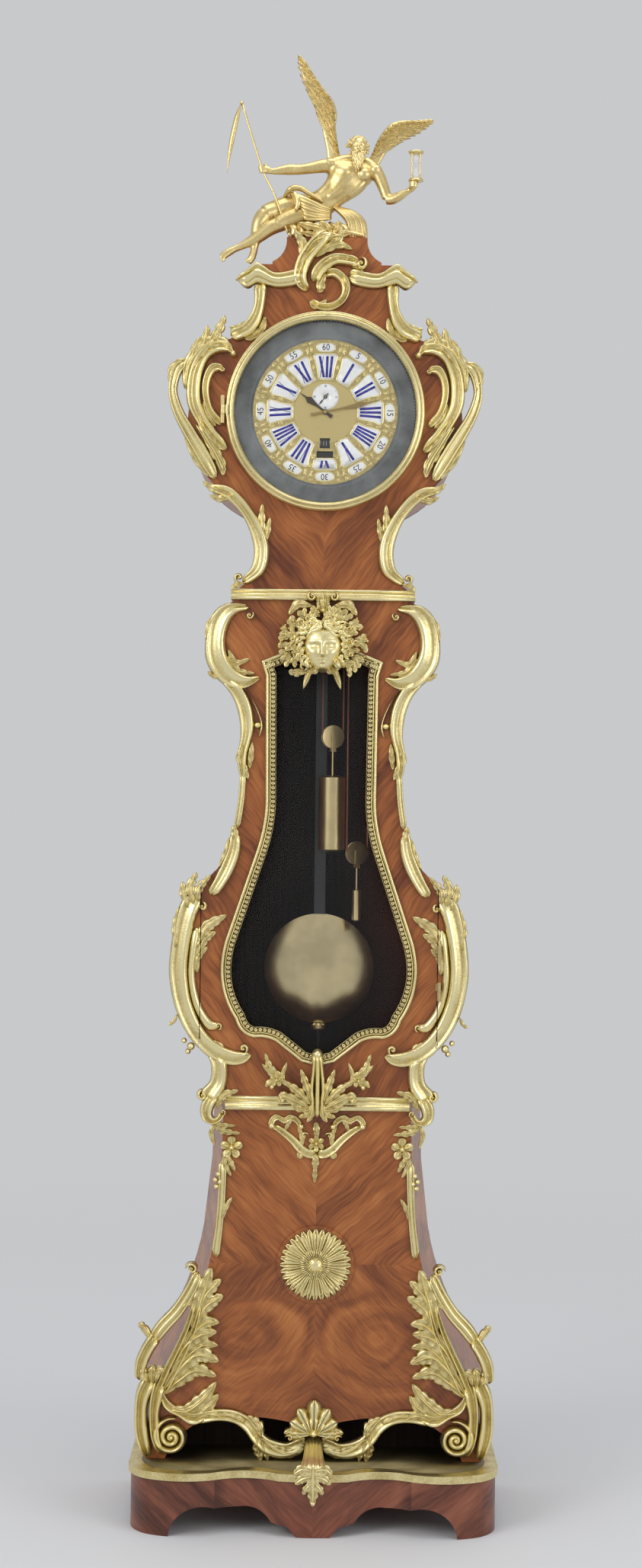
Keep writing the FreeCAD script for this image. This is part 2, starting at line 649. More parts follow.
def make_trunk():
    """Violin shaped trunk of four boards: bent sides with cheeks beside the door, ends with a shaft."""
    outline = placed(TRUNK, TRUNK_SIDE_SHARES)
    inner = [(point[0] - S.board,) + tuple(point[1:]) for point in outline]
    opening = float(S.door_half_width + S.door_gap)
    clear = Part.makeBox(2 * opening, float(S.board + S.cut_over + S.fit_gap),
                         float(S.trunk_height + 2 * S.cut_over),
                         spot(-opening, FRONT - S.cut_over, TRUNK_BASE - S.cut_over))
    hollow = plate(mirrored(inner), 0, DOOR_BACK, BOARD_BACK)
    sides = plate(mirrored(outline), 0, FRONT, BOARD_BACK).cut(clear).cut(hollow)
    reach = float(S.trunk_half_width)
    boards = []
    for base in (TRUNK_BASE, TRUNK_TOP - S.board):
        end = Part.makeBox(2 * reach, float(BOARD_BACK - DOOR_BACK - S.fit_gap), float(S.board),
                           spot(-reach, DOOR_BACK + S.fit_gap, base))
        shaft = Part.makeBox(2 * float(S.slot_half_width), float(S.slot_front + S.slot_back),
                             float(S.board), spot(-S.slot_half_width, -S.slot_front, base))
        boards.append(end.common(hollow).cut(shaft))
    solids = sides.Solids + [solid for board in boards for solid in board.Solids]
    add_shape("trunk_case", Part.makeCompound(solids))


CAP_TOP_SHARE = 0.74


def make_hood():
    """Hood with its dial opening, a closed top and a board with the shaft below."""
    hood = walled("hood_case", HOOD, HOOD_SIDE_SHARES, S.board * 1.3)
    hood.pocket("XZ", [("circle", 0 * DIAL_Z, DIAL_Z, S.dial_opening)], FRONT - S.cut_over,
                DOOR_BACK + S.cut_over)
    half, top = S.cap_half_width, S.cap_half_width * CAP_TOP_SHARE
    middle = HOOD_TOP + S.cap_height * 0.45
    cap = [(half, HOOD_TOP), (half, HOOD_TOP + S.cap_height * 0.1), (half * 0.8, middle, "via"),
           (top, CAP_TOP - S.cap_height * 0.12), (top, CAP_TOP)]
    hood.pad("XZ", [mirrored(cap)], FRONT, FRONT + S.cap_depth)


def make_backboard():
    """One backboard behind all storeys, following their outlines."""
    board = Maker("backboard")
    pedestal = pedestal_outline(S.pedestal_flare)
    trunk = placed(TRUNK, TRUNK_SIDE_SHARES)
    hood = placed(HOOD, HOOD_SIDE_SHARES)
    board.pad("XZ", [mirrored(pedestal + trunk + hood)], BOARD_BACK, BACK)


# Door in the trunk front


def glass_loop():
    """Outline of the gilt frame round the glass."""
    half = placed(TRUNK, GLASS_SIDE_SHARES)
    middle = 0 * S.board
    crown = TRUNK.place(0, GLASS_TOP_SHARE)[1]
    foot = TRUNK.place(0, GLASS_BOTTOM_SHARE)[1]
    return half + [(middle, crown, "via")] + \
        [(-point[0],) + tuple(point[1:]) for point in reversed(half)] + [(middle, foot, "via")]


def loop_wire(loop, y):
    """Closed wire on the plane at y from a loop of corners and arcs."""
    corners = [at for at, point in enumerate(loop) if len(point) == 2]
    edges = []
    for order, at in enumerate(corners):
        following = corners[(order + 1) % len(corners)]
        start, end = (spot(loop[index][0], y, loop[index][1]) for index in (at, following))
        if (at + 1) % len(loop) == following:
            edges.append(Part.LineSegment(start, end).toShape())
        else:
            via = loop[(at + 1) % len(loop)]
            edges.append(Part.Arc(start, spot(via[0], y, via[1]), end).toShape())
    return Part.Wire(edges)


def plate(loop, inset, start, end):
    """Flat plate of an outline drawn in by an inset, between two planes."""
    wire = loop_wire(loop, start)
    if float(inset):
        wire = wire.makeOffset2D(-float(inset))
    return Part.Face(wire).extrude(Vector(0, float(end - start), 0))


def make_door():
    """Door: the trunk's front board, its glass and the gilt frame that holds the glass."""
    outline = mirrored(placed(TRUNK, TRUNK_SIDE_SHARES))
    board = plate(outline, 0, FRONT, DOOR_BACK)
    half = float(S.door_half_width)
    trim = Part.makeBox(2 * half, float(S.board + 2 * S.cut_over), float(S.trunk_height - 2 * S.fit_gap),
                        spot(-half, FRONT - S.cut_over, TRUNK_BASE + S.fit_gap))
    opening = plate(glass_loop(), S.glass_frame_width - S.glass_seat, FRONT - S.cut_over,
                    DOOR_BACK + S.cut_over)
    add_shape("door_panel", board.common(trim).cut(opening))
    glass_back = DOOR_BACK - S.glass_thickness
    add_shape("door_glass", plate(glass_loop(), S.glass_frame_width - S.glass_seat + S.fit_gap,
                                  glass_back - S.glass_thickness, glass_back))
    low = S.glass_frame_height * 0.55
    band = plate(glass_loop(), 0, FRONT - low, FRONT).cut(
        plate(glass_loop(), S.glass_frame_width, FRONT - S.cut_over, FRONT + S.cut_over))
    bead = plate(glass_loop(), S.glass_frame_width * 0.3, FRONT - S.glass_frame_height, FRONT - low).cut(
        plate(glass_loop(), S.glass_frame_width * 0.75, FRONT - S.cut_over, FRONT + S.cut_over))
    add_shape("glass_frame", band.fuse(bead))


# Bronze mounts of the case, each table lists outer and inner edge places

BULGE_SCROLL_SHARES = [
    (0.949, 0.426, 0.802, 0.401), (0.968, 0.384, 0.81, 0.367), (1.012, 0.326, 0.838, 0.321),
    (1.036, 0.258, 0.877, 0.258), (1.012, 0.199, 0.858, 0.199), (0.968, 0.158, 0.814, 0.164),
    (0.909, 0.125, 0.755, 0.141), (0.834, 0.096, 0.767, 0.116), (0.731, 0.073, 0.672, 0.094),
    (0.609, 0.061, 0.585, 0.087), (0.518, 0.064, 0.522, 0.085), (0.47, 0.08, 0.506, 0.089),
]
WAIST_SCROLL_SHARES = [
    (0.684, 0.829, 0.545, 0.826), (0.617, 0.803, 0.47, 0.79), (0.577, 0.767, 0.431, 0.756),
    (0.565, 0.733, 0.435, 0.733), (0.581, 0.694, 0.482, 0.694), (0.565, 0.653, 0.51, 0.651),
    (0.573, 0.596, 0.526, 0.596), (0.597, 0.544, 0.553, 0.542), (0.66, 0.49, 0.557, 0.49),
    (0.723, 0.442, 0.601, 0.451), (0.779, 0.412, 0.672, 0.417), (0.802, 0.399, 0.743, 0.396),
]
SHOULDER_SCROLL_SHARES = [
    (0.696, 0.992, 0.577, 0.995), (0.791, 0.96, 0.644, 0.951), (0.818, 0.916, 0.668, 0.916),
    (0.81, 0.876, 0.656, 0.887), (0.747, 0.843, 0.601, 0.859), (0.7, 0.836, 0.557, 0.84),
]
CORNER_SCROLL_SHARES = [
    (0.767, 0.066, 0.68, 0.052), (0.739, 0.052, 0.668, 0.04), (0.755, 0.029, 0.668, 0.023),
    (0.814, 0.009, 0.668, 0.002), (0.822, -0.011, 0.668, -0.017), (0.814, -0.039, 0.664, -0.044),
    (0.775, -0.057, 0.6, -0.064),
]
NECK_SCROLL_SHARES = [
    (0.833, 0.295, 0.783, 0.325), (0.725, 0.276, 0.688, 0.315), (0.646, 0.247, 0.608, 0.285),
    (0.575, 0.206, 0.458, 0.238), (0.521, 0.15, 0.388, 0.163), (0.512, 0.105, 0.388, 0.119),
    (0.533, 0.061, 0.408, 0.077), (0.583, 0.038, 0.467, 0.031), (0.65, 0.037, 0.604, 0.005),
]
HEAD_SCROLL_SHARES = [
    (0.983, 0.682, 0.854, 0.696), (1.025, 0.628, 0.925, 0.635), (1.008, 0.558, 0.917, 0.565),
    (0.963, 0.495, 0.875, 0.503), (0.879, 0.444, 0.821, 0.465), (0.787, 0.409, 0.75, 0.434),
]
HEAD_LOOP_SHARES = [
    (1.021, 0.708, 0.967, 0.689), (1.121, 0.657, 1.071, 0.643), (1.146, 0.596, 1.092, 0.6),
    (1.104, 0.526, 1.054, 0.535), (1.012, 0.463, 0.958, 0.477), (0.929, 0.406, 0.875, 0.42),
    (0.833, 0.332, 0.8, 0.346),
]
HEAD_LEAF_SHARES = [
    (1.008, 0.692, 0.933, 0.657), (0.95, 0.738, 0.854, 0.696), (0.796, 0.757, 0.767, 0.717),
    (0.658, 0.724, 0.667, 0.713),
]
CREST_MOULDING_SHARES = [
    (0.667, 0.918, 0.654, 0.872), (0.562, 0.969, 0.558, 0.823), (0.471, 0.996, 0.467, 0.861),
    (0.4, 0.958, 0.408, 0.845), (0.345, 0.956, 0.345, 0.85), (0.285, 0.967, 0.28, 0.867),
]
CREST_SCROLL_SHARES = [
    (0.542, 0.814, 0.433, 0.814), (0.529, 0.737, 0.442, 0.753), (0.546, 0.684, 0.458, 0.653),
    (0.588, 0.622, 0.492, 0.561), (0.646, 0.576, 0.562, 0.499), (0.713, 0.552, 0.683, 0.452),
]
FOOT_SCROLL_SHARES = [
    (0.641, 0.556, 0.614, 0.549), (0.686, 0.489, 0.562, 0.489), (0.738, 0.425, 0.586, 0.413),
    (0.807, 0.357, 0.614, 0.348), (0.89, 0.295, 0.648, 0.292), (0.993, 0.24, 0.741, 0.235),
    (1.048, 0.182, 0.903, 0.188), (1.083, 0.113, 0.979, 0.123), (1.072, 0.049, 0.979, 0.049),
    (1.045, 0, 0.972, 0),
]
CORNER_MOUNT_SHARES = [
    (0.597, 0.845, 0.552, 0.845), (0.597, 0.76, 0.548, 0.75), (0.61, 0.668, 0.552, 0.684),
    (0.628, 0.601, 0.576, 0.601), (0.641, 0.566, 0.607, 0.566),
]
PENDANT_ARM_SHARES = [
    (0.293, 0.937, 0.266, 0.925), (0.228, 0.987, 0.214, 0.961), (0.131, 0.985, 0.145, 0.963),
    (0.04, 0.961, 0.06, 0.935),
]
PENDANT_BODY_SHARES = [
    (0.27, 0.942, 0.25, 0.962), (0.18, 0.9, 0.17, 0.935), (0.09, 0.868, 0.1, 0.908),
    (0.02, 0.852, 0.03, 0.885),
]
GARLAND_SHARES = [
    (0.062, 0.072, 0.062, 0.029), (0.128, 0.047, 0.128, 0.013), (0.221, 0.06, 0.228, 0.022),
    (0.3, 0.088, 0.317, 0.049), (0.366, 0.128, 0.386, 0.081), (0.452, 0.147, 0.466, 0.107),
    (0.562, 0.154, 0.572, 0.118),
]
ROCAILLE_BAND_SHARES = [
    (-0.02, 1.27, -0.02, 1.17), (-0.15, 1.2, -0.09, 1.09), (-0.235, 1.04, -0.13, 1),
    (-0.25, 0.901, -0.14, 0.89), (-0.2, 0.779, -0.115, 0.834), (-0.12, 0.724, -0.08, 0.79),
]
ROCAILLE_CROSS_SHARES = [
    (0.24, 1.07, 0.23, 0.967), (0.12, 1.07, 0.12, 0.978), (0, 1, 0.02, 0.912), (-0.1, 0.901, -0.06, 0.834),
]
ROCAILLE_CURL_SHARES = [
    (-0.01, 0.967, -0.01, 0.901), (0.12, 0.901, 0.07, 0.856), (0.165, 0.823, 0.1, 0.812),
    (0.12, 0.724, 0.07, 0.761), (-0.03, 0.691, -0.02, 0.753), (-0.14, 0.746, -0.1, 0.79),
]
ROCAILLE_LEAVES_SHARES = [((-0.1, 0.845), (0.03, 0.834)), ((-0.15, 0.912), (-0.03, 0.912)),
                          ((0.05, 1.02), (0.1, 1.15))]
ROCAILLE_VOLUTE_SHARE = (0.245, 1.01)
HEAD_LEAVES_SHARES = [
    ((0.81, 0.735), (0.754, 0.839)), ((0.86, 0.735), (0.862, 0.801)), ((0.82, 0.435), (0.733, 0.374)),
    ((0.86, 0.665), (0.75, 0.66)),
]
BULGE_LEAVES_SHARES = [
    ((0.87, 0.4), (0.862, 0.448)), ((0.84, 0.405), (0.767, 0.442)), ((0.83, 0.345), (0.656, 0.364)),
    ((0.85, 0.32), (0.723, 0.329)),
]
SHOULDER_LEAVES_SHARES = [
    ((0.68, 0.885), (0.506, 0.879)), ((0.62, 0.86), (0.478, 0.845)), ((0.66, 0.955), (0.506, 0.968)),
]
NECK_LEAVES_SHARES = [
    ((0.82, 0.305), (0.892, 0.325)), ((0.56, 0.24), (0.454, 0.259)), ((0.45, 0.2), (0.4, 0.21)),
]
FOOT_LEAVES_SHARES = [
    ((0.65, 0.48), (0.576, 0.527)), ((0.66, 0.33), (0.583, 0.258)), ((0.74, 0.262), (0.6, 0.22)),
]
FLOWER_LEAVES_SHARES = [
    ((0.52, 0.91), (0.459, 0.934)), ((0.53, 0.92), (0.5, 0.951)), ((0.51, 0.875), (0.51, 0.812)),
    ((0.5, 0.87), (0.493, 0.841)),
]
FLOWER_SHARE = (0.514, 0.89)
PENDANT_LEAVES_SHARES = [((0.02, 0.91), (0.16, 0.96)), ((0.01, 0.92), (0.06, 0.97))]
PALMETTE_SHARES = [(0, 0.094), (0.12, 0.076), (-0.12, 0.076), (0.205, 0.043), (-0.205, 0.043),
                   (0.253, -0.007), (-0.253, -0.007), (0.12, -0.037), (-0.12, -0.037)]
PALMETTE_HEART_SHARE = (0, 0.012)
SPRIG_SHARES = [(0.36, 0.089), (0.296, 0.076), (0.344, 0.022)]
SPRIG_ROOT_SHARE = (0.23, 0.03)
APRON_SHELL_SHARES = [(0, 0.183), (0.07, 0.172), (0.124, 0.146), (0.165, 0.105), (0.179, 0.089)]
APRON_HEART_SHARE = (0, 0.075)
MASK_CURL_SHARES = [
    (0.9, 0.15), (0.95, 0.45), (0.8, 0.72), (0.55, 0.9), (0.2, 1.0), (0.7, -0.25), (0.42, -0.55)]
RIBBON_TIP_SHARE = (0.395, -0.883)


def leaves(storey, shares, side, width, rise, back=FRONT):
    """Leaves from a table of root and tip shares."""
    return [leaf(storey.place(side * root[0], root[1]), storey.place(side * tip[0], tip[1]), width, rise,
                 back)
            for root, tip in shares]


def flower(place, back=FRONT):
    """Five petal flower: a ring of leaves round a knob."""
    petals = []
    for number in range(5):
        turn = math.radians(90 + 72 * number)
        reach = S.flower_radius
        tip = (place[0] + reach * math.cos(turn), place[1] + reach * math.sin(turn))
        petals.append(leaf(place, tip, S.flower_radius, S.thin_rise * 0.6, back))
    return petals + [boss(place, S.flower_radius * 0.45, S.thin_rise, back)]


def make_bulge_scrolls():
    """Scrolls round the bulge, cut where the door edge passes through them."""
    def whole(side):
        rails = rails_on(TRUNK, BULGE_SCROLL_SHARES, side)
        parts = [ridge(rails, S.mount_rise * 0.6)]
        parts += leaves(TRUNK, BULGE_LEAVES_SHARES, side, S.leaf_width, S.thin_rise)
        parts.append(boss(TRUNK.place(side * 0.71, 0.143), S.scroll_boss * 1.2, S.thin_rise))
        parts.append(boss(TRUNK.place(side * 0.522, 0.094), S.scroll_boss, S.thin_rise))
        parts.append(leaf(TRUNK.place(side * 0.86, 0.14), TRUNK.place(side * 1.047, 0.141), S.leaf_width,
                          S.thin_rise))
        return joined(parts)

    reach = float(S.mount_rise + S.cut_over)
    door = float(S.door_half_width)
    edge = float(S.door_half_width + S.door_gap)
    outer, inner = [], []
    for side in (-1, 1):
        scroll = whole(side)
        keep = Part.makeBox(2 * door, 2 * reach, float(S.trunk_height),
                            spot(-door, FRONT - S.mount_rise - S.cut_over, TRUNK_BASE))
        clear = Part.makeBox(2 * edge, 2 * reach, float(S.trunk_height),
                             spot(-edge, FRONT - S.mount_rise - S.cut_over, TRUNK_BASE))
        outer.append(scroll.cut(clear))
        inner.append(scroll.common(keep))
    add_shape("bulge_scrolls", Part.makeCompound(outer))
    add_shape("door_scroll_ends", Part.makeCompound(inner))


def make_trunk_mounts():
    """Mounts that the door carries at its waist, shoulders and foot."""
    add_shape("waist_mounts", pair(lambda side: joined(
        [ridge(rails_on(TRUNK, WAIST_SCROLL_SHARES, side), S.thin_rise)]
        + leaves(TRUNK, [((0.62, 0.81), (0.78, 0.822))], side, S.leaf_width, S.thin_rise * 0.7))))
    add_shape("shoulder_scrolls", pair(lambda side: joined(
        [ridge(rails_on(TRUNK, SHOULDER_SCROLL_SHARES, side), S.thin_rise)]
        + leaves(TRUNK, SHOULDER_LEAVES_SHARES, side, S.leaf_width, S.thin_rise * 0.8)
        + [boss(TRUNK.place(side * 0.52, 0.967), S.scroll_boss * 0.8, S.thin_rise * 0.8)])))
    front = FRONT - S.moulding_reach - S.fit_gap
    heart = TRUNK.place(*PALMETTE_HEART_SHARE)
    fan = [leaf(heart, TRUNK.place(*share), S.leaf_width * 1.35, S.shell_rise * 0.6, front)
           for share in PALMETTE_SHARES]
    for side in (-1, 1):
        root = TRUNK.place(side * SPRIG_ROOT_SHARE[0], SPRIG_ROOT_SHARE[1])
        fan += [leaf(root, TRUNK.place(side * share[0], share[1]), S.leaf_width * 0.6, S.thin_rise * 0.5,
                     front)
                for share in SPRIG_SHARES]
        fan.append(leaf(heart, TRUNK.place(side * 0.29, 0.032), S.leaf_width, S.thin_rise * 0.5, front))
    seat = Part.makeCylinder(float(S.scroll_boss * 1.5), float(FRONT - front),
                             spot(0, front, TRUNK_BASE + S.scroll_boss * 2.4), Vector(0, 1, 0))
    centre = boss(heart, S.scroll_boss * 1.6, S.shell_rise, front)
    add_shape("palmette_and_sprigs", joined([centre] + fan + [seat]))


def make_mask():
    """Face mask under the arch of the glass: curls of hair round a plain oval face."""
    centre = (0 * S.mask_drop, TRUNK_TOP - S.mask_drop)
    rear = FRONT - S.moulding_reach - S.fit_gap
    reach, up = S.mask_half_width, S.mask_half_width * 0.82
    parts = []
    for side in (-1, 1):
        for across, rise in MASK_CURL_SHARES:
            tip = (centre[0] + side * across * reach, centre[1] + rise * up)
            parts.append(leaf(centre, tip, S.mask_radius * 0.85, S.thin_rise, rear))
        parts.append(leaf((centre[0], centre[1] - up * 0.4),
                          (centre[0] + side * RIBBON_TIP_SHARE[0] * reach,
                     centre[1] + RIBBON_TIP_SHARE[1] * reach), S.leaf_width * 0.7, S.thin_rise * 0.4, rear))
    rings = []
    for level, width, depth in ((-0.68, 0.34, 0.5), (-0.4, 0.66, 0.85), (0.05, 0.9, 1), (0.5, 0.85, 0.9),
                                (0.85, 0.5, 0.5)):
        corners = []
        for number in range(9):
            turn = math.pi * number / 8
            corners.append(spot(centre[0] + S.mask_radius * width * math.cos(turn),
                                rear - S.mask_radius * 0.8 * depth * math.sin(turn),
                                centre[1] + S.mask_radius * 1.35 * level))
        rings.append(corners)
    parts.append(faceted(rings))
    shell = HOOD_BASE - S.neck_moulding_height * 0.3
    fan_root = (centre[0], centre[1] + up * 0.8)
    parts += [leaf(fan_root, (centre[0] + S.mask_radius * across, shell - S.mask_radius * drop),
                   S.leaf_width,
                   S.thin_rise, rear) for across, drop in ((0, 0), (0.4, 0.12), (-0.4, 0.12))]
    parts.append(Part.makeCylinder(float(S.mask_radius * 0.5), float(FRONT - rear),
                                   spot(0, rear, TRUNK_TOP - S.mask_radius * 0.65), Vector(0, 1, 0)))
    add_shape("mask_mount", joined(parts))


def make_root_mounts():
    """Mounts fixed to pedestal, lower trunk corners and hood."""
    add_shape("foot_mounts", pair(lambda side: joined(
        [ridge(rails_on(PEDESTAL, FOOT_SCROLL_SHARES, side), S.mount_rise * 1.3, low_end=True),
         boss(PEDESTAL.place(side * 0.862, 0.075), S.foot_boss, S.mount_rise)]
        + leaves(PEDESTAL, FOOT_LEAVES_SHARES, side, S.leaf_width * 1.3, S.thin_rise))))
    add_shape("pedestal_corner_mounts", pair(lambda side: ridge(
        rails_on(PEDESTAL, CORNER_MOUNT_SHARES, side), S.thin_rise * 0.8)))
    add_shape("corner_scrolls", pair(lambda side: joined(
        [ridge(rails_on(TRUNK, CORNER_SCROLL_SHARES, side), S.mount_rise * 0.7, low_end=True)]
        + leaves(PEDESTAL, FLOWER_LEAVES_SHARES, side, S.leaf_width * 0.8, S.thin_rise * 0.6)
        + flower(PEDESTAL.place(side * FLOWER_SHARE[0], FLOWER_SHARE[1]))
        + leaves(PEDESTAL, [((0.52, 0.9), (0.6, 0.97)), ((0.52, 0.9), (0.64, 0.955))], side,
                 S.leaf_width * 1.2, S.thin_rise * 0.8))))
    add_shape("neck_scrolls", pair(lambda side: joined(
        [ridge(rails_on(HOOD, NECK_SCROLL_SHARES, side), S.thin_rise * 1.1)]
        + leaves(HOOD, NECK_LEAVES_SHARES, side, S.leaf_width, S.thin_rise * 0.8))))
    add_shape("head_scrolls", pair(lambda side: joined(
        [ridge(rails_on(HOOD, HEAD_SCROLL_SHARES, side), S.mount_rise * 0.8),
         ridge(rails_on(HOOD, HEAD_LOOP_SHARES, side), S.thin_rise),
         ridge(rails_on(HOOD, HEAD_LEAF_SHARES, side), S.thin_rise)]
        + leaves(HOOD, HEAD_LEAVES_SHARES, side, S.leaf_width, S.thin_rise * 0.8))))
    add_shape("crest_mounts", pair(lambda side: joined(
        [ridge(rails_on(CREST, CREST_MOULDING_SHARES, side), S.mount_rise * 0.8),
         ridge(rails_on(CREST, CREST_SCROLL_SHARES, side), S.thin_rise)])))
    arms = [ridge(rails_on(PEDESTAL, table, side), S.thin_rise * 0.7)
            for table in (PENDANT_ARM_SHARES, PENDANT_BODY_SHARES) for side in (-1, 1)]
    heart = PEDESTAL.place(0, 0.904)
    add_shape("pedestal_pendant", joined(
        arms + [boss(heart, S.scroll_boss * 1.3, S.thin_rise),
                leaf(heart, PEDESTAL.place(0, 0.791), S.leaf_width * 0.8, S.thin_rise * 0.7)]
        + leaves(PEDESTAL, PENDANT_LEAVES_SHARES, -1, S.leaf_width * 0.9, S.thin_rise * 0.55)
        + leaves(PEDESTAL, PENDANT_LEAVES_SHARES, 1, S.leaf_width * 0.9, S.thin_rise * 0.55)))


def make_crest_rocaille():
    """Open shellwork over the dial, unequal on its two sides."""
    parts = [ridge(rails_on(CREST, ROCAILLE_BAND_SHARES), S.mount_rise * 0.9),
             ridge(rails_on(CREST, ROCAILLE_CROSS_SHARES), S.thin_rise),
             ridge(rails_on(CREST, ROCAILLE_CURL_SHARES), S.thin_rise)]
    parts.append(boss(CREST.place(*ROCAILLE_VOLUTE_SHARE), S.scroll_boss, S.thin_rise))
    parts += leaves(CREST, ROCAILLE_LEAVES_SHARES, 1, S.leaf_width, S.thin_rise * 0.7)
    add_shape("crest_rocaille", joined(parts))


def star(place, radius, lobes, depth, rise, back):
    """Round rosette layer with a scalloped edge."""
    points = []
    for number in range(2 * lobes):
        turn = math.pi * number / lobes
        reach = radius * (1 if number % 2 else 1 - depth)
        points.append(spot(place[0] + reach * math.cos(turn), back, place[1] + reach * math.sin(turn)))
    return Part.Face(Part.makePolygon(points + [points[0]])).extrude(Vector(0, -float(rise), 0))


def make_rosette():
    """Rosette of two rows of petals round a knob."""
    place = PEDESTAL.place(0, ROSETTE_SHARE)
    back = FRONT - S.ring_rise
    step = S.rosette_rise / 3
    add_shape("rosette", joined([
        star(place, S.rosette_radius, 28, 0.05, step, back),
        star(place, S.rosette_radius * 0.72, 20, 0.08, step, back - step),
        Part.makeCone(float(S.rosette_radius) * 0.4, float(S.rosette_radius) * 0.16, float(step) * 1.5,
                      spot(place[0], back - 2 * step, place[1]), Vector(0, -1, 0))]))


def make_apron():
    """Shell and garland between the feet, hanging down over the plinth's rim."""
    heart = PEDESTAL.place(*APRON_HEART_SHARE)
    parts = [boss(heart, S.scroll_boss, S.shell_rise)]
    for side in (-1, 1):
        parts += [leaf(heart, PEDESTAL.place(side * share[0], share[1]), S.leaf_width, S.thin_rise * 0.8)
                  for share in APRON_SHELL_SHARES[1:]]
        parts.append(ridge(rails_on(PEDESTAL, GARLAND_SHARES, side), S.thin_rise))
        parts.append(leaf(heart, PEDESTAL.place(side * 0.1, 0.04), S.leaf_width * 1.4, S.thin_rise))
    parts.append(leaf(heart, PEDESTAL.place(*APRON_SHELL_SHARES[0]), S.leaf_width * 1.3, S.thin_rise))
    lip = -S.plinth_depth / 2 - S.rim_overhang - S.fit_gap
    tongue_top = PLINTH_TOP + S.rim_height * 1.5
    sections = []
    for y, z, half, thick in ((FRONT, tongue_top, 0.9, 1), (FRONT - S.mount_rise * 1.5, tongue_top, 1.1, 1),
                              (lip - S.rim_overhang * 0.5, PLINTH_TOP + S.fit_gap, 1.5, 0.8)):
        width, height = S.leaf_width * half, S.rim_height * 0.7 * thick
        corners = [spot(-width, y, z), spot(width, y, z), spot(width * 0.5, y, z + height),
                   spot(-width * 0.5, y, z + height)]
        sections.append(corners)
    parts.append(faceted(sections))
    drop = PLINTH_TOP + S.rim_height * 0.6
    for across, low in ((0, -0.042), (-0.11, -0.02), (0.11, -0.02)):
        parts.append(leaf((0 * drop, drop), PEDESTAL.place(across, low), S.leaf_width * 1.4,
                          S.thin_rise * 0.6, lip))
    add_shape("apron_mount", joined(parts))


# Figure group on the cap, seated among drapery


def limb(stops, sides=8):
    """Rounded limb: rings of a radius at places (x, y, z), ruled into one solid."""
    rings = []
    for order, (place, radius, depth) in enumerate(stops):
        ahead = stops[min(order + 1, len(stops) - 1)][0]
        behind = stops[max(order - 1, 0)][0]
        along = (spot(*ahead) - spot(*behind)).normalize()
        first = Vector(0, 1, 0).cross(along).normalize()
        second = along.cross(first)
        ring = [spot(*place) + first * (float(radius) * math.cos(turn))
                + second * (float(depth) * math.sin(turn))
                for turn in (2 * math.pi * number / sides for number in range(sides))]
        rings.append(ring)
    return faceted(rings)


def on_figure(x_share, z_share, forward=0):
    """Place in the figure group, forward in thigh radii."""
    x, z = FIGURE.place(x_share, z_share)
    return x, -S.figure_front - forward * S.limb_radius, z


def wing(stops, thickness):
    """Wing of a lens section through leading and trailing edge places."""
    rings = []
    for order, (lead, trail) in enumerate(stops):
        first, second = spot(*on_figure(*lead, forward=-1.2)), spot(*on_figure(*trail, forward=-1.2))
        swell = float(thickness) * (1 - 0.75 * order / (len(stops) - 1)) / 2
        middle = (first + second) * 0.5
        rings.append([first, middle - Vector(0, swell, 0), second, middle + Vector(0, swell, 0)])
    return faceted(rings)


# Each limb lists x share, z share, forward, half width and half depth, the last three in thigh radii
FIGURE_LIMBS = [
    # trunk of the body
    [(-0.26, 0.16, 0, 1.7, 1.6), (-0.1, 0.19, 0, 2, 1.7), (0.03, 0.24, 0, 1.9, 1.6),
     (0.15, 0.33, 0, 2.5, 1.75), (0.21, 0.39, 0, 2, 1.4), (0.25, 0.43, 0.1, 0.9, 0.9)],
    # head and beard
    [(0.255, 0.42, 0.1, 0.75, 0.75), (0.268, 0.46, 0.3, 1.35, 1.3), (0.275, 0.5, 0.25, 1.6, 1.6),
     (0.28, 0.54, 0.15, 1.3, 1.4), (0.28, 0.56, 0.1, 0.6, 0.6)],
    [(0.268, 0.455, 1.3, 1, 0.6), (0.262, 0.4, 1.35, 0.8, 0.5), (0.25, 0.35, 1.2, 0.3, 0.3)],
    # arm to the scythe, arm to the hourglass
    [(0.06, 0.405, 0.2, 1.05, 1), (-0.12, 0.385, 0.4, 0.85, 0.8), (-0.25, 0.37, 0.6, 0.75, 0.75),
     (-0.37, 0.365, 0.8, 0.7, 0.7), (-0.49, 0.353, 1.1, 0.48, 0.45), (-0.6, 0.363, 1.45, 0.6, 0.6)],
    [(0.3, 0.385, 0.1, 1.1, 1), (0.45, 0.28, 0.3, 0.85, 0.8), (0.52, 0.205, 0.5, 0.75, 0.75),
     (0.62, 0.225, 0.8, 0.65, 0.65), (0.705, 0.253, 1.2, 0.45, 0.45), (0.765, 0.28, 1.9, 0.6, 0.6)],
    # legs
    [(-0.2, 0.19, -0.3, 1.5, 1.4), (-0.4, 0.165, 0.3, 1.5, 1.4), (-0.57, 0.135, 1.2, 1.2, 1.1),
     (-0.62, 0.03, 1.8, 0.95, 0.9), (-0.64, -0.04, 2.1, 0.5, 0.5), (-0.67, -0.125, 2.6, 0.5, 0.4)],
    [(-0.14, 0.13, 0.8, 1.5, 1.4), (-0.3, 0.11, 1, 1.3, 1.2), (-0.42, 0.08, 1.3, 1.1, 1.1),
     (-0.62, 0, 1.6, 0.9, 0.9), (-0.81, -0.065, 1.9, 0.5, 0.5), (-0.94, -0.11, 2.1, 0.5, 0.4)],
]
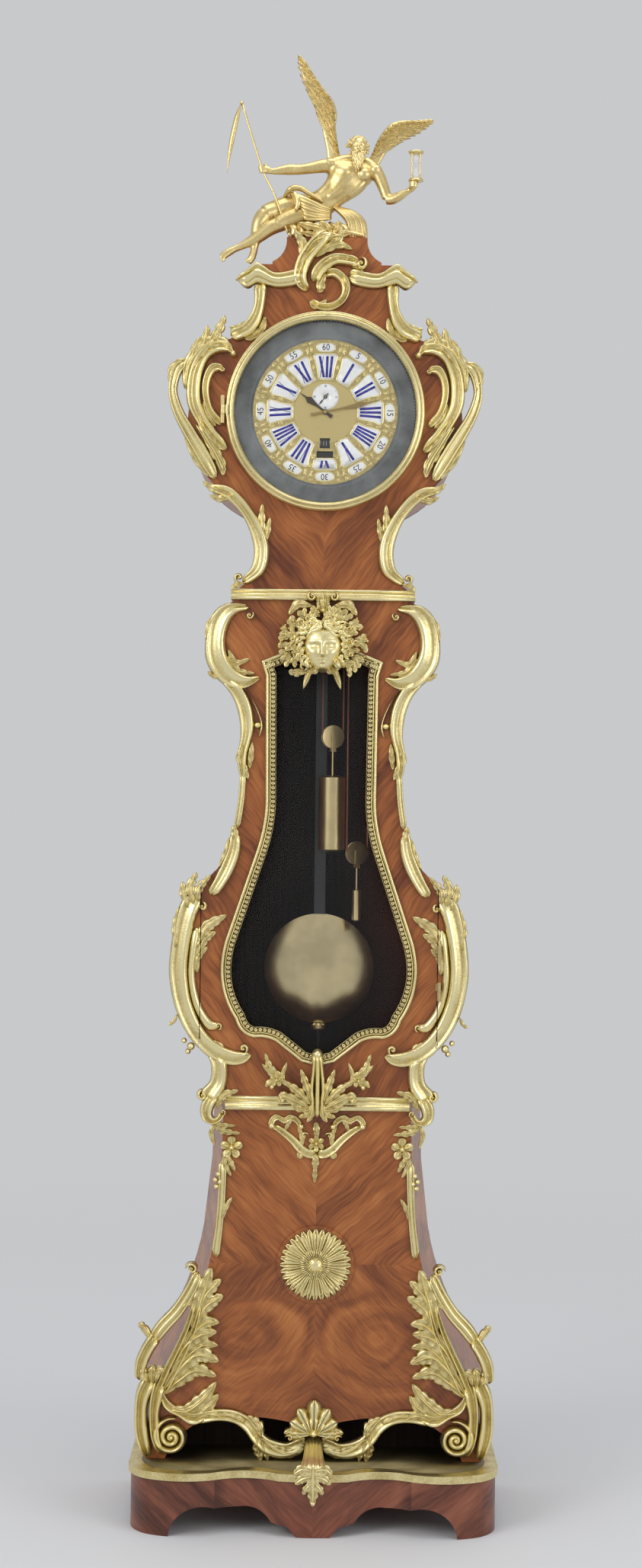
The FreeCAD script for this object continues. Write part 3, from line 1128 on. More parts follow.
# Drapery below the seat and rock beside it, cut level with the cap
FIGURE_SEAT = [
    [(-0.36, 0.05, 0.2, 0.9, 1.2), (-0.1, 0.08, 0, 1.6, 2), (0.16, 0.07, 0, 1.5, 2),
     (0.36, 0.03, 0, 0.9, 1.2)],
    [(0.08, 0.17, -0.2, 0.9, 0.9), (0.2, 0.13, -0.2, 1, 1.1), (0.3, 0.07, -0.2, 1.1, 1.2),
     (0.34, 0.005, -0.2, 1, 1.1)],
]
# Leading and trailing edge of each wing from root to tip
TALL_WING_SHARES = [
    ((-0.01, 0.38), (0.14, 0.4)), ((-0.044, 0.506), (0.079, 0.493)), ((-0.072, 0.588), (0.063, 0.602)),
    ((-0.103, 0.67), (0.072, 0.684)), ((-0.119, 0.725), (0.033, 0.753)), ((-0.212, 0.807), (-0.049, 0.807)),
    ((-0.27, 0.903), (-0.14, 0.88)), ((-0.28, 0.957), (-0.19, 0.94)), ((-0.27, 1), (-0.25, 0.99))]
SMALL_WING_SHARES = [
    ((0.22, 0.42), (0.26, 0.34)), ((0.38, 0.493), (0.4, 0.425)), ((0.44, 0.575), (0.5, 0.438)),
    ((0.544, 0.637), (0.567, 0.506)), ((0.718, 0.65), (0.67, 0.54)), ((0.858, 0.643), (0.788, 0.575)),
    ((0.9, 0.645), (0.88, 0.616)), ((0.94, 0.662), (0.935, 0.65))]
# Scythe: x share, z share, forward, half width and half depth in pole radii
POLE_STOPS = [(-0.76, 0.71, 1.55, 1, 1), (-0.565, 0.4, 1.55, 1, 1), (-0.34, 0.03, 2.15, 0.8, 0.8)]
BLADE_STOPS = [(-0.755, 0.69, 1.55, 0.5, 1.4), (-0.86, 0.56, 1.55, 0.5, 1.7), (-0.88, 0.44, 1.55, 0.4, 1.2),
               (-0.89, 0.34, 1.55, 0.2, 0.3)]


def shaped(stops, unit, sides=8):
    """Limb from a table row, its thickness in the given unit."""
    return limb([(on_figure(x, z, forward), unit * wide, unit * deep)
                 for x, z, forward, wide, deep in stops], sides)


def make_figure():
    """Winged bearded figure reclining on the cap with scythe and hourglass."""
    ground = Part.makeBox(4 * float(S.figure_half_span), 4 * float(S.figure_half_span),
                          float(S.figure_height),
                          spot(-2 * S.figure_half_span, -2 * S.figure_half_span, CAP_TOP - S.figure_height))
    body = joined([shaped(stops, S.limb_radius) for stops in FIGURE_LIMBS]
                  + [shaped(stops, S.limb_radius).cut(ground) for stops in FIGURE_SEAT]
                  + [wing(stops, S.wing_thickness) for stops in (TALL_WING_SHARES, SMALL_WING_SHARES)])
    pole = shaped(POLE_STOPS, S.scythe_radius, sides=6)
    blade = shaped(BLADE_STOPS, S.scythe_radius, sides=4)
    tool = joined([pole, blade])
    add_shape("scythe", tool)
    x, y, z = on_figure(0.775, 0.3, 1.2)
    y = y - S.hourglass_radius
    seat = Part.makeCylinder(float(S.hourglass_radius + S.fit_gap), float(S.hourglass_height),
                             spot(x, y, z - S.fit_gap))
    add_shape("time_figure", body.cut(tool).cut(seat))
    glass = Maker("hourglass", at=(x, y, z))
    radius, height = S.hourglass_radius, S.hourglass_height
    glass.revolve("XZ", [(0, 0), (radius, 0 * z), (radius, height * 0.08), (radius * 0.75, height * 0.12),
                         (radius * 0.62, height * 0.34, "via"), (radius * 0.15, height * 0.5),
                         (radius * 0.62, height * 0.66, "via"), (radius * 0.75, height * 0.88),
                         (radius, height * 0.92), (radius, height), (0, height)])


# Dial, bezel and hands

DIAL_FACE = FRONT + S.dial_recess
SHEET_BACK = DIAL_FACE + S.dial_thickness


def ring_profile(inner, outer, start, end):
    """Profile of a flat ring about the dial axis."""
    return [(inner, start), (outer, start), (outer, end), (inner, end)]


def make_dial():
    """Gilt centre with its windows, enamel plaques, dial plate on feet and turning rings."""
    at = (0, 0, DIAL_Z)
    edge = S.ring_inner - S.fit_gap
    centre = Maker("dial_centre", at)
    centre.revolve("XY", [(S.hour_pipe_radius + S.running_gap * 2, DIAL_FACE),
                          (edge, DIAL_FACE), (edge, SHEET_BACK),
                          (S.hour_pipe_radius + S.running_gap * 2, SHEET_BACK)])
    half = S.date_window / 2
    low, wide = S.month_window_drop, S.month_window_width / 2
    tall = S.month_window_height / 2
    centre.pocket("XZ", [rectangle(-half, half, -S.date_window_drop - half, -S.date_window_drop + half),
                         rectangle(-wide, wide, -low - tall, -low + tall),
                         ("circle", 0 * half, S.seconds_rise, S.pivot_radius * 1.2)],
                  FRONT - S.cut_over, SHEET_BACK + S.cut_over)
    ring = Maker("calendar_ring", at)
    ring.revolve("XY", ring_profile(S.ring_inner, S.ring_outer, DIAL_FACE, SHEET_BACK))
    date_front = SHEET_BACK + S.dial_step / 2
    date_back = date_front + S.date_thickness
    date = Maker("date_disc", at)
    date.revolve("XY", ring_profile(S.date_inner, S.date_outer, date_front, date_back))
    plate_front = date_back + S.dial_step / 2
    plate_back = plate_front + S.dial_thickness
    back = Maker("dial_plate", at)
    back.revolve("XY", ring_profile(S.hour_pipe_radius + S.running_gap * 2, S.ring_outer + S.dial_recess,
                                    plate_front, plate_back))
    back.pocket("XZ", [("circle", 0 * half, S.seconds_rise, S.pivot_radius * 1.2)],
                plate_front - S.cut_over,
                plate_back + S.cut_over)
    foot_side = S.plate_half_width - S.pillar_inset
    feet = [("circle", side * foot_side, rise, S.pillar_radius) for side in (-1, 1)
            for rise in (S.plate_rise * 0.3, -S.plate_rise * 0.32)]
    back.pad("XZ", feet, plate_back, -S.front_plate_face)
    step = [("circle", 0 * half, rise, S.pillar_radius) for rise in (S.date_outer + S.pillar_radius * 2,
                                                                  -S.date_outer - S.pillar_radius * 2)]
    back.pad("XZ", step, SHEET_BACK, plate_front)
    plaques = []
    for hour in range(12):
        turn = math.radians(30 * hour)

        def at_turn(radius, across):
            return spot(radius * math.sin(turn) + across * math.cos(turn), DIAL_FACE,
                        DIAL_Z + radius * math.cos(turn) - across * math.sin(turn))

        inner = S.plaque_inner
        if hour == 6:
            inner = S.month_window_drop + S.month_window_height / 2 + S.plaque_rise
        outer, wide = S.plaque_outer, S.plaque_half_width
        narrow = wide * 0.62
        corners = [at_turn(inner, -narrow), at_turn(inner, narrow), at_turn(outer * 0.93, wide),
                   at_turn(outer, wide * 0.5), at_turn(outer, -wide * 0.5), at_turn(outer * 0.93, -wide)]
        plaques.append(Part.Face(Part.makePolygon(corners + [corners[0]])).extrude(
            Vector(0, -float(S.plaque_rise), 0)))
        radius, wide, tall = S.minute_plaque_radius, S.minute_plaque_width / 2, S.minute_plaque_height / 2
        corners = [at_turn(radius - tall, -wide * 0.85), at_turn(radius - tall, wide * 0.85),
                   at_turn(radius, wide), at_turn(radius + tall, wide * 0.85),
                   at_turn(radius + tall, -wide * 0.85),
                   at_turn(radius, -wide)]
        plaques.append(Part.Face(Part.makePolygon(corners + [corners[0]])).extrude(
            Vector(0, -float(S.plaque_rise), 0)))
    seconds = Part.makeCylinder(float(S.seconds_radius), float(S.plaque_rise),
                                spot(0, DIAL_FACE, DIAL_Z + S.seconds_rise), Vector(0, -1, 0))
    hole = Part.makeCylinder(float(S.seconds_radius) * 0.45, float(S.plaque_rise) * 2,
                             spot(0, DIAL_FACE, DIAL_Z + S.seconds_rise), Vector(0, -1, 0))
    bore = Part.makeCylinder(float(S.hour_pipe_radius) * 1.6, float(S.plaque_rise) * 2,
                             spot(0, DIAL_FACE, DIAL_Z), Vector(0, -1, 0))
    plaques.append(seconds.cut(hole).cut(bore))
    add_shape("enamel_plaques", Part.makeCompound(plaques))


def make_bezel():
    """Hinged bezel with its glass."""
    at = (0, 0, DIAL_Z)
    rear = FRONT - S.fit_gap
    lip = S.bezel_inner
    seat = lip + S.bezel_glass_seat
    glass_back = rear - S.bezel_glass_thickness * 1.5
    glass_front = glass_back - S.bezel_glass_thickness
    bezel = Maker("bezel", at)
    crown = rear - S.bezel_rise
    bezel.revolve("XY", [(seat + S.fit_gap, rear), (S.bezel_radius, rear),
                         (S.bezel_radius, rear - S.bezel_rise * 0.35),
                         ((S.bezel_radius + lip) / 2, crown, "via"), (lip, rear - S.bezel_rise * 0.6),
                         (lip, glass_front - S.fit_gap / 2),
                         (seat + S.fit_gap, glass_front - S.fit_gap / 2)])
    axis_x = -S.bezel_radius - S.bezel_hinge_gap
    axis_y = crown - S.pin_radius
    length = S.knuckle_length
    knuckle_plan = [("circle", axis_x, axis_y, S.knuckle_radius),
                    ("circle", axis_x, axis_y, S.pin_radius + S.running_gap)]
    leaf_plan = rectangle(axis_x + S.knuckle_radius * 0.8,
                          axis_x + S.bezel_hinge_gap + S.knuckle_radius * 1.4,
                          axis_y - S.pin_radius * 0.5, axis_y + S.bezel_rise * 0.8)
    bezel.pad("XY", [leaf_plan], -length / 2, length / 2)
    bezel.pad("XY", [knuckle_plan[0]], -length / 2, length / 2)
    bezel.pocket("XY", [knuckle_plan[1]], -length, length)
    glass = Maker("bezel_glass", at)
    glass.revolve("XY", [(0, glass_front), (seat, glass_front), (seat, glass_back), (0, glass_back)])
    return axis_x, axis_y


def hand_shape(length, width, hub, turn, front, bore, tail=0.25):
    """Pierced looking hand: hub, swelling arm and tail, turned clockwise from twelve."""
    thickness = float(S.hand_thickness)
    points = [(-0.12, 0), (-0.16, 0.3), (-0.5, 0.62), (-0.14, 0.72),
              (0, 1), (0.14, 0.72), (0.5, 0.62), (0.16, 0.3),
              (0.12, 0), (0.3, -tail), (-0.3, -tail)]
    corners = [spot(width * across, front, length * up) for across, up in points]
    arm = Part.Face(Part.makePolygon(corners + [corners[0]])).extrude(Vector(0, thickness, 0))
    disc = Part.makeCylinder(float(hub), thickness, spot(0, front, 0), Vector(0, 1, 0))
    hand = arm.fuse(disc).cut(Part.makeCylinder(float(bore), thickness * 3,
                                                spot(0, front - S.hand_thickness, 0),
                                                Vector(0, 1, 0)))
    hand.rotate(Vector(0, 0, 0), Vector(0, 1, 0), turn)
    return hand


# Time that the hands show, in degrees clockwise
MINUTE_TURN = 78
HOUR_TURN = 306.5
SECOND_TURN = 219
SECONDS_FRONT = DIAL_FACE - S.plaque_rise - S.hand_step
HOUR_FRONT = SECONDS_FRONT - S.hand_thickness - S.hand_step
MINUTE_FRONT = HOUR_FRONT - S.hand_thickness - S.hand_step


def make_hands():
    """Three hands, the hour hand on its pipe over the centre arbor."""
    hand = hand_shape(S.minute_hand_length, S.hand_width, S.arbor_radius * 1.8, MINUTE_TURN, MINUTE_FRONT,
                      S.arbor_radius * 0.8)
    hand.translate(spot(0, 0, DIAL_Z))
    add_shape("minute_hand", hand)
    hand = hand_shape(S.hour_hand_length, S.hand_width * 1.3, S.arbor_radius * 2.2, HOUR_TURN, HOUR_FRONT,
                      S.arbor_radius * 0.8 + S.running_gap)
    pipe_end = -S.front_plate_face - S.dial_step
    pipe = Part.makeCylinder(float(S.hour_pipe_radius), float(pipe_end - HOUR_FRONT),
                             spot(0, HOUR_FRONT, 0), Vector(0, 1, 0))
    pipe = pipe.cut(Part.makeCylinder(float(S.arbor_radius * 0.8 + S.running_gap),
                                      float(pipe_end - HOUR_FRONT) * 2,
                                      spot(0, HOUR_FRONT - S.cut_over, 0), Vector(0, 1, 0)))
    hand = hand.fuse(pipe)
    hand.translate(spot(0, 0, DIAL_Z))
    add_shape("hour_hand", hand)
    hand = hand_shape(S.seconds_hand_length, S.hand_width * 0.35, S.pivot_radius * 2, SECOND_TURN,
                      SECONDS_FRONT,
                      S.pivot_radius * 0.8, tail=0.35)
    hand.translate(spot(0, 0, DIAL_Z + S.seconds_rise))
    add_shape("seconds_hand", hand)


# Movement between its two plates

PLATE_BACK = -S.front_plate_face + S.plate_thickness
REAR_PLATE = S.back_plate_face - S.plate_thickness
GREAT_AT = (S.great_side, DIAL_Z - S.great_drop)
THIRD_AT = (-S.third_side, DIAL_Z + S.third_rise)
ESCAPE_AT = (0, DIAL_Z + S.seconds_rise)
PALLET_AT = (0, DIAL_Z + S.pallet_rise)
WINDING_AT = (S.great_side + S.winding_side, DIAL_Z - S.great_drop - S.winding_drop)
SEAT_TOP = DIAL_Z - S.seat_drop


def rod(place, radius, start, end):
    """Round bar along Y between two planes."""
    return Part.makeCylinder(float(radius), float(end - start), spot(place[0], start, place[1]),
                             Vector(0, 1, 0))


def gear(place, radius, teeth, start, thickness, phase=0.0):
    """Toothed wheel with straight flanked teeth about a pitch radius."""
    module = 2 * float(radius) / teeth
    root, tip = float(radius) - 0.8 * module, float(radius) + 0.5 * module
    pitch = 2 * math.pi / teeth
    points = []
    for number in range(teeth):
        middle = (number + phase) * pitch
        for reach, offset in ((root, -0.22), (tip, -0.07), (tip, 0.07), (root, 0.22)):
            turn = middle + offset * pitch
            points.append(spot(place[0] + reach * math.sin(turn), start, place[1] + reach * math.cos(turn)))
    return Part.Face(Part.makePolygon(points + [points[0]])).extrude(Vector(0, float(thickness), 0))


def spoked(place, radius, shape, start, thickness):
    """Cut four round windows into a wheel."""
    for number in range(4):
        turn = math.radians(45 + 90 * number)
        reach = float(radius) * 0.5
        hole = (float(place[0]) + reach * math.cos(turn), float(place[1]) + reach * math.sin(turn))
        shape = shape.cut(rod(hole, radius * 0.24, start - S.cut_over, start + thickness + S.cut_over))
    return shape


def arbor(place):
    """Arbor between the plates with a pivot at each end."""
    gap = S.dial_step / 2
    body = rod(place, S.arbor_radius, PLATE_BACK + gap, REAR_PLATE - gap)
    return body.fuse([rod(place, S.pivot_radius, -S.front_plate_face, PLATE_BACK + gap),
                      rod(place, S.pivot_radius, REAR_PLATE - gap, S.back_plate_face)])


def seconds_arbor(shoulder):
    """Escape wheel's arbor: slim past the centre wheel and through the dial."""
    gap = S.dial_step / 2
    slim = S.pivot_radius * 0.8
    body = rod(ESCAPE_AT, S.arbor_radius, shoulder, REAR_PLATE - gap)
    return body.fuse([rod(ESCAPE_AT, slim, SECONDS_FRONT, shoulder),
                      rod(ESCAPE_AT, S.pivot_radius, REAR_PLATE - gap, S.back_plate_face)])


def sheave_loop(radius, lip, thickness, bore):
    """Profile of a grooved wheel for the cord."""
    seat = radius - S.cord_radius - S.cord_seat_gap
    half = thickness / 2
    floor = S.cord_radius
    return [(bore, -half), (seat + lip, -half), (seat, -floor), (seat, floor), (seat + lip, half),
            (bore, half)]


def sheave(place, middle, radius, lip, thickness, bore):
    """Grooved wheel as a solid of revolution about Y."""
    loop = sheave_loop(radius, lip, thickness, bore)
    points = [spot(x, y, 0) for x, y in loop]
    wheel = Part.Face(Part.makePolygon(points + [points[0]])).revolve(Vector(0, 0, 0), Vector(0, 1, 0), 360)
    wheel.translate(spot(place[0], middle, place[1]))
    return wheel


def make_movement():
    """Plates with pillars, four wheels with their pinions, escapement and winding sheave."""
    half = S.plate_half_width
    top = SEAT_TOP + S.plate_rise
    plates = []
    holes_front = [(GREAT_AT, S.pivot_radius), (THIRD_AT, S.pivot_radius), (PALLET_AT, S.pivot_radius),
                   (ESCAPE_AT, S.pivot_radius * 0.8), ((0, DIAL_Z), S.arbor_radius * 0.8)]
    holes_back = [(GREAT_AT, S.pivot_radius), (THIRD_AT, S.pivot_radius), (PALLET_AT, S.pivot_radius * 1.3),
                  (ESCAPE_AT, S.pivot_radius), ((0, DIAL_Z), S.pivot_radius)]
    for front, holes in ((-S.front_plate_face, holes_front), (REAR_PLATE, holes_back)):
        body = Part.makeBox(2 * float(half), float(S.plate_thickness), float(S.plate_rise),
                            spot(-half, front, SEAT_TOP))
        for place, radius in holes:
            body = body.cut(rod(place, radius + S.running_gap, front - S.cut_over,
                                front + S.plate_thickness + S.cut_over))
        plates.append(body)
    inset = S.pillar_inset
    plates += [rod((side * (half - inset), level), S.pillar_radius, PLATE_BACK, REAR_PLATE)
               for side in (-1, 1) for level in (SEAT_TOP + inset, top - inset)]
    add_shape("movement_plates", plates[0].fuse(plates[1:]
                                               + [rod(WINDING_AT, S.arbor_radius, S.winding_sheave_back
                                                      - S.sheave_thickness / 2 - S.dial_step, REAR_PLATE)]))
    thick = S.wheel_thickness
    great_front = PLATE_BACK + S.pinion_length
    great = spoked(GREAT_AT, S.great_wheel_radius,
                   gear(GREAT_AT, S.great_wheel_radius, 64, great_front, thick),
                   great_front, thick)
    drum = sheave(GREAT_AT, -S.great_sheave_front, S.sheave_radius, S.sheave_lip, S.sheave_thickness,
                  S.arbor_radius * 0.5)
    add_shape("great_wheel", arbor(GREAT_AT).fuse([great, drum]))
    winding = sheave(WINDING_AT, S.winding_sheave_back, S.sheave_radius, S.sheave_lip, S.sheave_thickness,
                     S.arbor_radius + S.running_gap)
    add_shape("winding_sheave", winding)
    centre = (0, DIAL_Z)
    pinion_front = great_front - (S.pinion_length - thick) / 2
    centre_front = pinion_front + S.pinion_length + S.dial_step
    pinion = gear(centre, S.great_wheel_radius / 8, 8, pinion_front, S.pinion_length,
                  mesh_phase(GREAT_AT, centre, 64, 8))
    wheel = spoked(centre, S.centre_wheel_radius,
                   gear(centre, S.centre_wheel_radius, 48, centre_front, thick), centre_front, thick)
    shaft = rod(centre, S.arbor_radius, PLATE_BACK + S.dial_step / 2, REAR_PLATE - S.dial_step / 2)
    front_shaft = rod(centre, S.arbor_radius * 0.8, MINUTE_FRONT, PLATE_BACK + S.dial_step / 2)
    back_pivot = rod(centre, S.pivot_radius, REAR_PLATE - S.dial_step / 2, S.back_plate_face)
    add_shape("centre_wheel", shaft.fuse([pinion, wheel, front_shaft, back_pivot]))
    pinion_front = centre_front - (S.pinion_length - thick) / 2
    third_front = pinion_front + S.pinion_length + S.dial_step
    pinion = gear(THIRD_AT, S.centre_wheel_radius / 8, 6, pinion_front, S.pinion_length,
                  mesh_phase(centre, THIRD_AT, 48, 6))
    wheel = spoked(THIRD_AT, S.third_wheel_radius,
                   gear(THIRD_AT, S.third_wheel_radius, 45, third_front, thick), third_front, thick)
    add_shape("third_wheel", arbor(THIRD_AT).fuse([pinion, wheel]))
    pinion_front = third_front - (S.pinion_length - thick) / 2
    escape_front = pinion_front + S.pinion_length + S.dial_step
    pinion = gear(ESCAPE_AT, S.third_wheel_radius / 7.5, 6, pinion_front, S.pinion_length,
                  mesh_phase(THIRD_AT, ESCAPE_AT, 45, 6))
    points = []
    for number in range(30):
        turn = 2 * math.pi * number / 30
        for reach, offset in ((S.escape_wheel_radius, 0.0), (S.escape_wheel_radius * 0.86, 0.035),
                              (S.escape_wheel_radius * 0.86, 0.17)):
            points.append(spot(reach * math.sin(turn + offset), escape_front,
                               ESCAPE_AT[1] + reach * math.cos(turn + offset)))
    wheel = Part.Face(Part.makePolygon(points + [points[0]])).extrude(Vector(0, float(thick), 0))
    wheel = spoked(ESCAPE_AT, S.escape_wheel_radius, wheel, escape_front, thick)
    add_shape("escape_wheel", seconds_arbor(centre_front + thick + S.dial_step).fuse([pinion, wheel]))
    make_anchor(escape_front)


def mesh_phase(driver, driven, driver_teeth, driven_teeth):
    """Turn of a pinion, in teeth, that puts a gap on the driver's tooth at the line of centres."""
    x = float(driven[0]) - float(driver[0])
    z = float(driven[1]) - float(driver[1])
    toward = math.atan2(x, z)
    phase = (toward / (2 * math.pi) * driver_teeth) % 1
    facing = (toward + math.pi) / (2 * math.pi) * driven_teeth
    return (facing + 0.5 + phase) % 1


def make_anchor(escape_front):
    """Pallet arbor with its anchor in front and the crutch behind the rear plate."""
    gap = S.dial_step / 2
    crutch_front = S.back_plate_face + S.plate_thickness
    parts = [rod(PALLET_AT, S.arbor_radius, PLATE_BACK + gap, REAR_PLATE - gap),
             rod(PALLET_AT, S.pivot_radius, -S.front_plate_face, PLATE_BACK + gap),
             rod(PALLET_AT, S.pivot_radius * 1.3, REAR_PLATE - gap, crutch_front + S.plate_thickness)]
    drop = PALLET_AT[1] - ESCAPE_AT[1]
    arm = [(0, 0.15), (0.7, 0.0), (1, -0.22), (0.92, -0.24), (0.6, -0.1), (0, -0.05)]
    points = [spot(across * S.pallet_reach * 1.9, escape_front, PALLET_AT[1] + drop * up)
              for across, up in arm]
    points += [spot(-across * S.pallet_reach * 1.9, escape_front, PALLET_AT[1] + drop * up)
               for across, up in arm[-2:0:-1]]
    arms = Part.Face(Part.makePolygon(points + [points[0]]))
    parts.append(arms.extrude(Vector(0, float(S.wheel_thickness), 0)))
    foot = PALLET_AT[1] - S.crutch_length
    wide = S.rod_half_width * 0.4
    parts.append(Part.makeBox(2 * float(wide), float(S.plate_thickness), float(S.crutch_length),
                              spot(-wide, crutch_front, foot)))
    inner = S.rod_half_width + S.crutch_gap
    bar = S.plate_thickness
    parts.append(Part.makeBox(2 * float(inner + bar), float(bar), float(S.rod_thickness),
                              spot(-inner - bar, crutch_front, foot)))
    reach = S.pendulum_back + S.rod_thickness / 2 + bar - crutch_front
    for low in (-inner - bar, inner):
        parts.append(Part.makeBox(float(bar), float(reach), float(S.rod_thickness),
                                  spot(low, crutch_front, foot)))
    add_shape("anchor", parts[0].fuse(parts[1:]))


def make_seat():
    """Seat board fixed to the backboard, with slots for cords and pendulum."""
    board = Maker("seat_board")
    half = S.seat_half_width
    back_slot = S.rod_half_width * 6
    front_edge = -S.front_plate_face - S.board
    board.pad("XY", [rectangle(-half, half, front_edge, BOARD_BACK)], SEAT_TOP - S.seat_thickness, SEAT_TOP)
    cord_left = S.great_side - S.sheave_radius - S.cord_radius * 4
    cord_right = WINDING_AT[0] + S.sheave_radius + S.cord_radius * 4
    board.pocket("XY", [rectangle(cord_left, cord_right, -S.great_sheave_front - S.cord_radius * 4,
                                  S.winding_sheave_back + S.cord_radius * 4),
                        rectangle(-back_slot, back_slot, S.pendulum_back - S.rod_thickness * 2,
                                  S.pendulum_back + S.rod_thickness * 2)],
                 SEAT_TOP - S.seat_thickness - S.cut_over, SEAT_TOP + S.cut_over)


# Pendulum, weights and cords


def make_pendulum():
    """Cock with spring, flat rod, lens shaped bob and rating nut."""
    hang = PALLET_AT[1]
    back = S.pendulum_back
    half, height = S.cock_half_width, S.cock_height
    low = hang + S.spring_length * 0.12
    cock = Part.makeBox(2 * float(half), float(BOARD_BACK - back + S.spring_width), float(height),
                        spot(-half, back - S.spring_width, low))
    foot = Part.makeBox(2.6 * float(half), float(S.board) * 0.7, float(height) * 2.6,
                        spot(-half * 1.3, BOARD_BACK - S.board * 0.7, low - height * 0.8))
    slit = Part.makeBox(float(S.rod_thickness) * 0.4, float(S.spring_width) * 1.2, float(height) * 3,
                        spot(-S.rod_thickness * 0.2, back - S.spring_width * 0.6, low - height))
    add_shape("pendulum_cock", cock.fuse(foot).cut(slit))
    bob_z = hang - S.bob_drop
    rod_top = hang - S.spring_length * 0.5
    rod_end = bob_z - S.bob_radius + S.rod_thickness
    nut_top = bob_z - S.bob_radius - S.fit_gap
    spring = Part.makeBox(float(S.spring_thickness), float(S.spring_width), float(S.spring_length),
                          spot(-S.spring_thickness / 2, back - S.spring_width / 2,
                               rod_top - S.rod_thickness))
    clamp = Part.makeBox(2 * float(S.rod_half_width), float(S.spring_width) + 2 * float(S.crutch_gap),
                         float(S.spring_length) * 0.4,
                         spot(-S.rod_half_width, back - S.spring_width / 2 - S.crutch_gap,
                              rod_top - S.spring_length * 0.4))
    bar = Part.makeBox(2 * float(S.rod_half_width), float(S.rod_thickness),
                       float(rod_top - rod_end) - float(S.spring_length) * 0.4,
                       spot(-S.rod_half_width, back - S.rod_thickness / 2, rod_end))
    screw_end = nut_top - S.rating_nut_height - S.rating_screw_radius
    screw = Part.makeCylinder(float(S.rating_screw_radius), float(rod_end - screw_end),
                              spot(0, back, screw_end))
    needle = Part.makeCone(0.3 * float(S.rating_screw_radius), float(S.rating_screw_radius),
                           float(S.needle_length),
                           spot(0, back, screw_end - S.needle_length))
    add_shape("pendulum_rod", bar.fuse([clamp, spring, screw, needle]))
    bob = Maker("pendulum_bob", at=(0, back, bob_z))
    edge, thick = S.bob_edge / 2, S.bob_thickness / 2
    r = S.bob_radius
    bob.revolve("XY", [(0, -thick), (r * 0.6, -thick * 0.8, "via"), (r, -edge), (r, edge),
                       (r * 0.6, thick * 0.8, "via"), (0, thick)])
    gap = S.fit_gap
    bob.pocket("XY", [rectangle(-S.rod_half_width - gap, S.rod_half_width + gap, -S.rod_thickness / 2 - gap,
                                S.rod_thickness / 2 + gap)], -r - S.cut_over, r + S.cut_over)
    nut = Maker("rating_nut", at=(0, back, nut_top - S.rating_nut_height))
    nut_radius, nut_height = S.rating_nut_radius, S.rating_nut_height
    bore = S.rating_screw_radius + S.running_gap
    nut.revolve("XZ", [(bore, 0 * bore), (nut_radius * 0.8, 0 * bore), (nut_radius, nut_height * 0.25),
                       (nut_radius, nut_height * 0.75), (nut_radius * 0.8, nut_height), (bore, nut_height)])


DRIVE_LEFT = S.great_side - S.sheave_radius
COUNTER_LEFT = S.great_side + S.sheave_radius
DRIVE_RIGHT = WINDING_AT[0] - S.sheave_radius
COUNTER_RIGHT = WINDING_AT[0] + S.sheave_radius
CORD_FRONT = -S.great_sheave_front
CORD_BACK = S.winding_sheave_back
PULLEY_SPAN = math.hypot(float(DRIVE_RIGHT - DRIVE_LEFT), float(CORD_BACK - CORD_FRONT))
PULLEY_TURN = math.degrees(math.atan2(float(CORD_BACK - CORD_FRONT), float(DRIVE_RIGHT - DRIVE_LEFT)))


def turned(shape, x, z):
    """Put a shape made about the origin on a pulley axis, turned to face both strands."""
    shape.rotate(Vector(0, 0, 0), Vector(0, 0, 1), PULLEY_TURN)
    shape.translate(Vector(x, float(CORD_FRONT + CORD_BACK) / 2, z))
    return shape


def make_weight(name, left, right, pulley_drop, top_drop, radius, height):
    """Pulley in its stirrup, hook and weight below."""
    x = float(left + right) / 2
    z = float(DIAL_Z - pulley_drop)
    middle = (0, 0)
    pin = S.arbor_radius * 0.8
    seat = Length(PULLEY_SPAN / 2, "0")
    wheel = sheave(middle, 0 * pin, seat, S.pulley_lip, S.pulley_thickness, pin + S.running_gap)
    add_shape(name + "_pulley", turned(wheel, x, z))
    half = S.pulley_thickness / 2 + S.stirrup_gap
    cheek, wide = S.stirrup_thickness, S.stirrup_width
    low = seat + S.pulley_lip
    parts = [rod(middle, pin, -half - cheek, half + cheek)]
    for front in (-half - cheek, half):
        parts.append(Part.makeBox(float(wide), float(cheek), float(low + wide),
                                  spot(-wide / 2, front, -low - wide / 2)))
    parts.append(Part.makeBox(float(wide), float(2 * half + 2 * cheek), float(cheek),
                              spot(-wide / 2, -half - cheek,
                                                                                        -low - wide / 2)))
    parts.append(Part.makeCylinder(float(cheek) * 1.3, float(top_drop - low), spot(0, 0, -top_drop)))
    lid = height * 0.03
    profile = [spot(0, 0, -top_drop), spot(radius * 0.5, 0, -top_drop), spot(radius, 0, -top_drop - lid),
               spot(radius, 0, -top_drop - height + lid), spot(radius * 0.5, 0, -top_drop - height),
               spot(0, 0, -top_drop - height)]
    section = Part.Face(Part.makePolygon(profile + [profile[0]]))
    body = section.revolve(Vector(0, 0, 0), Vector(0, 0, 1), 360)
    add_shape(name + "_weight", turned(parts[0].fuse(parts[1:] + [body]), x, z))
    return x, z


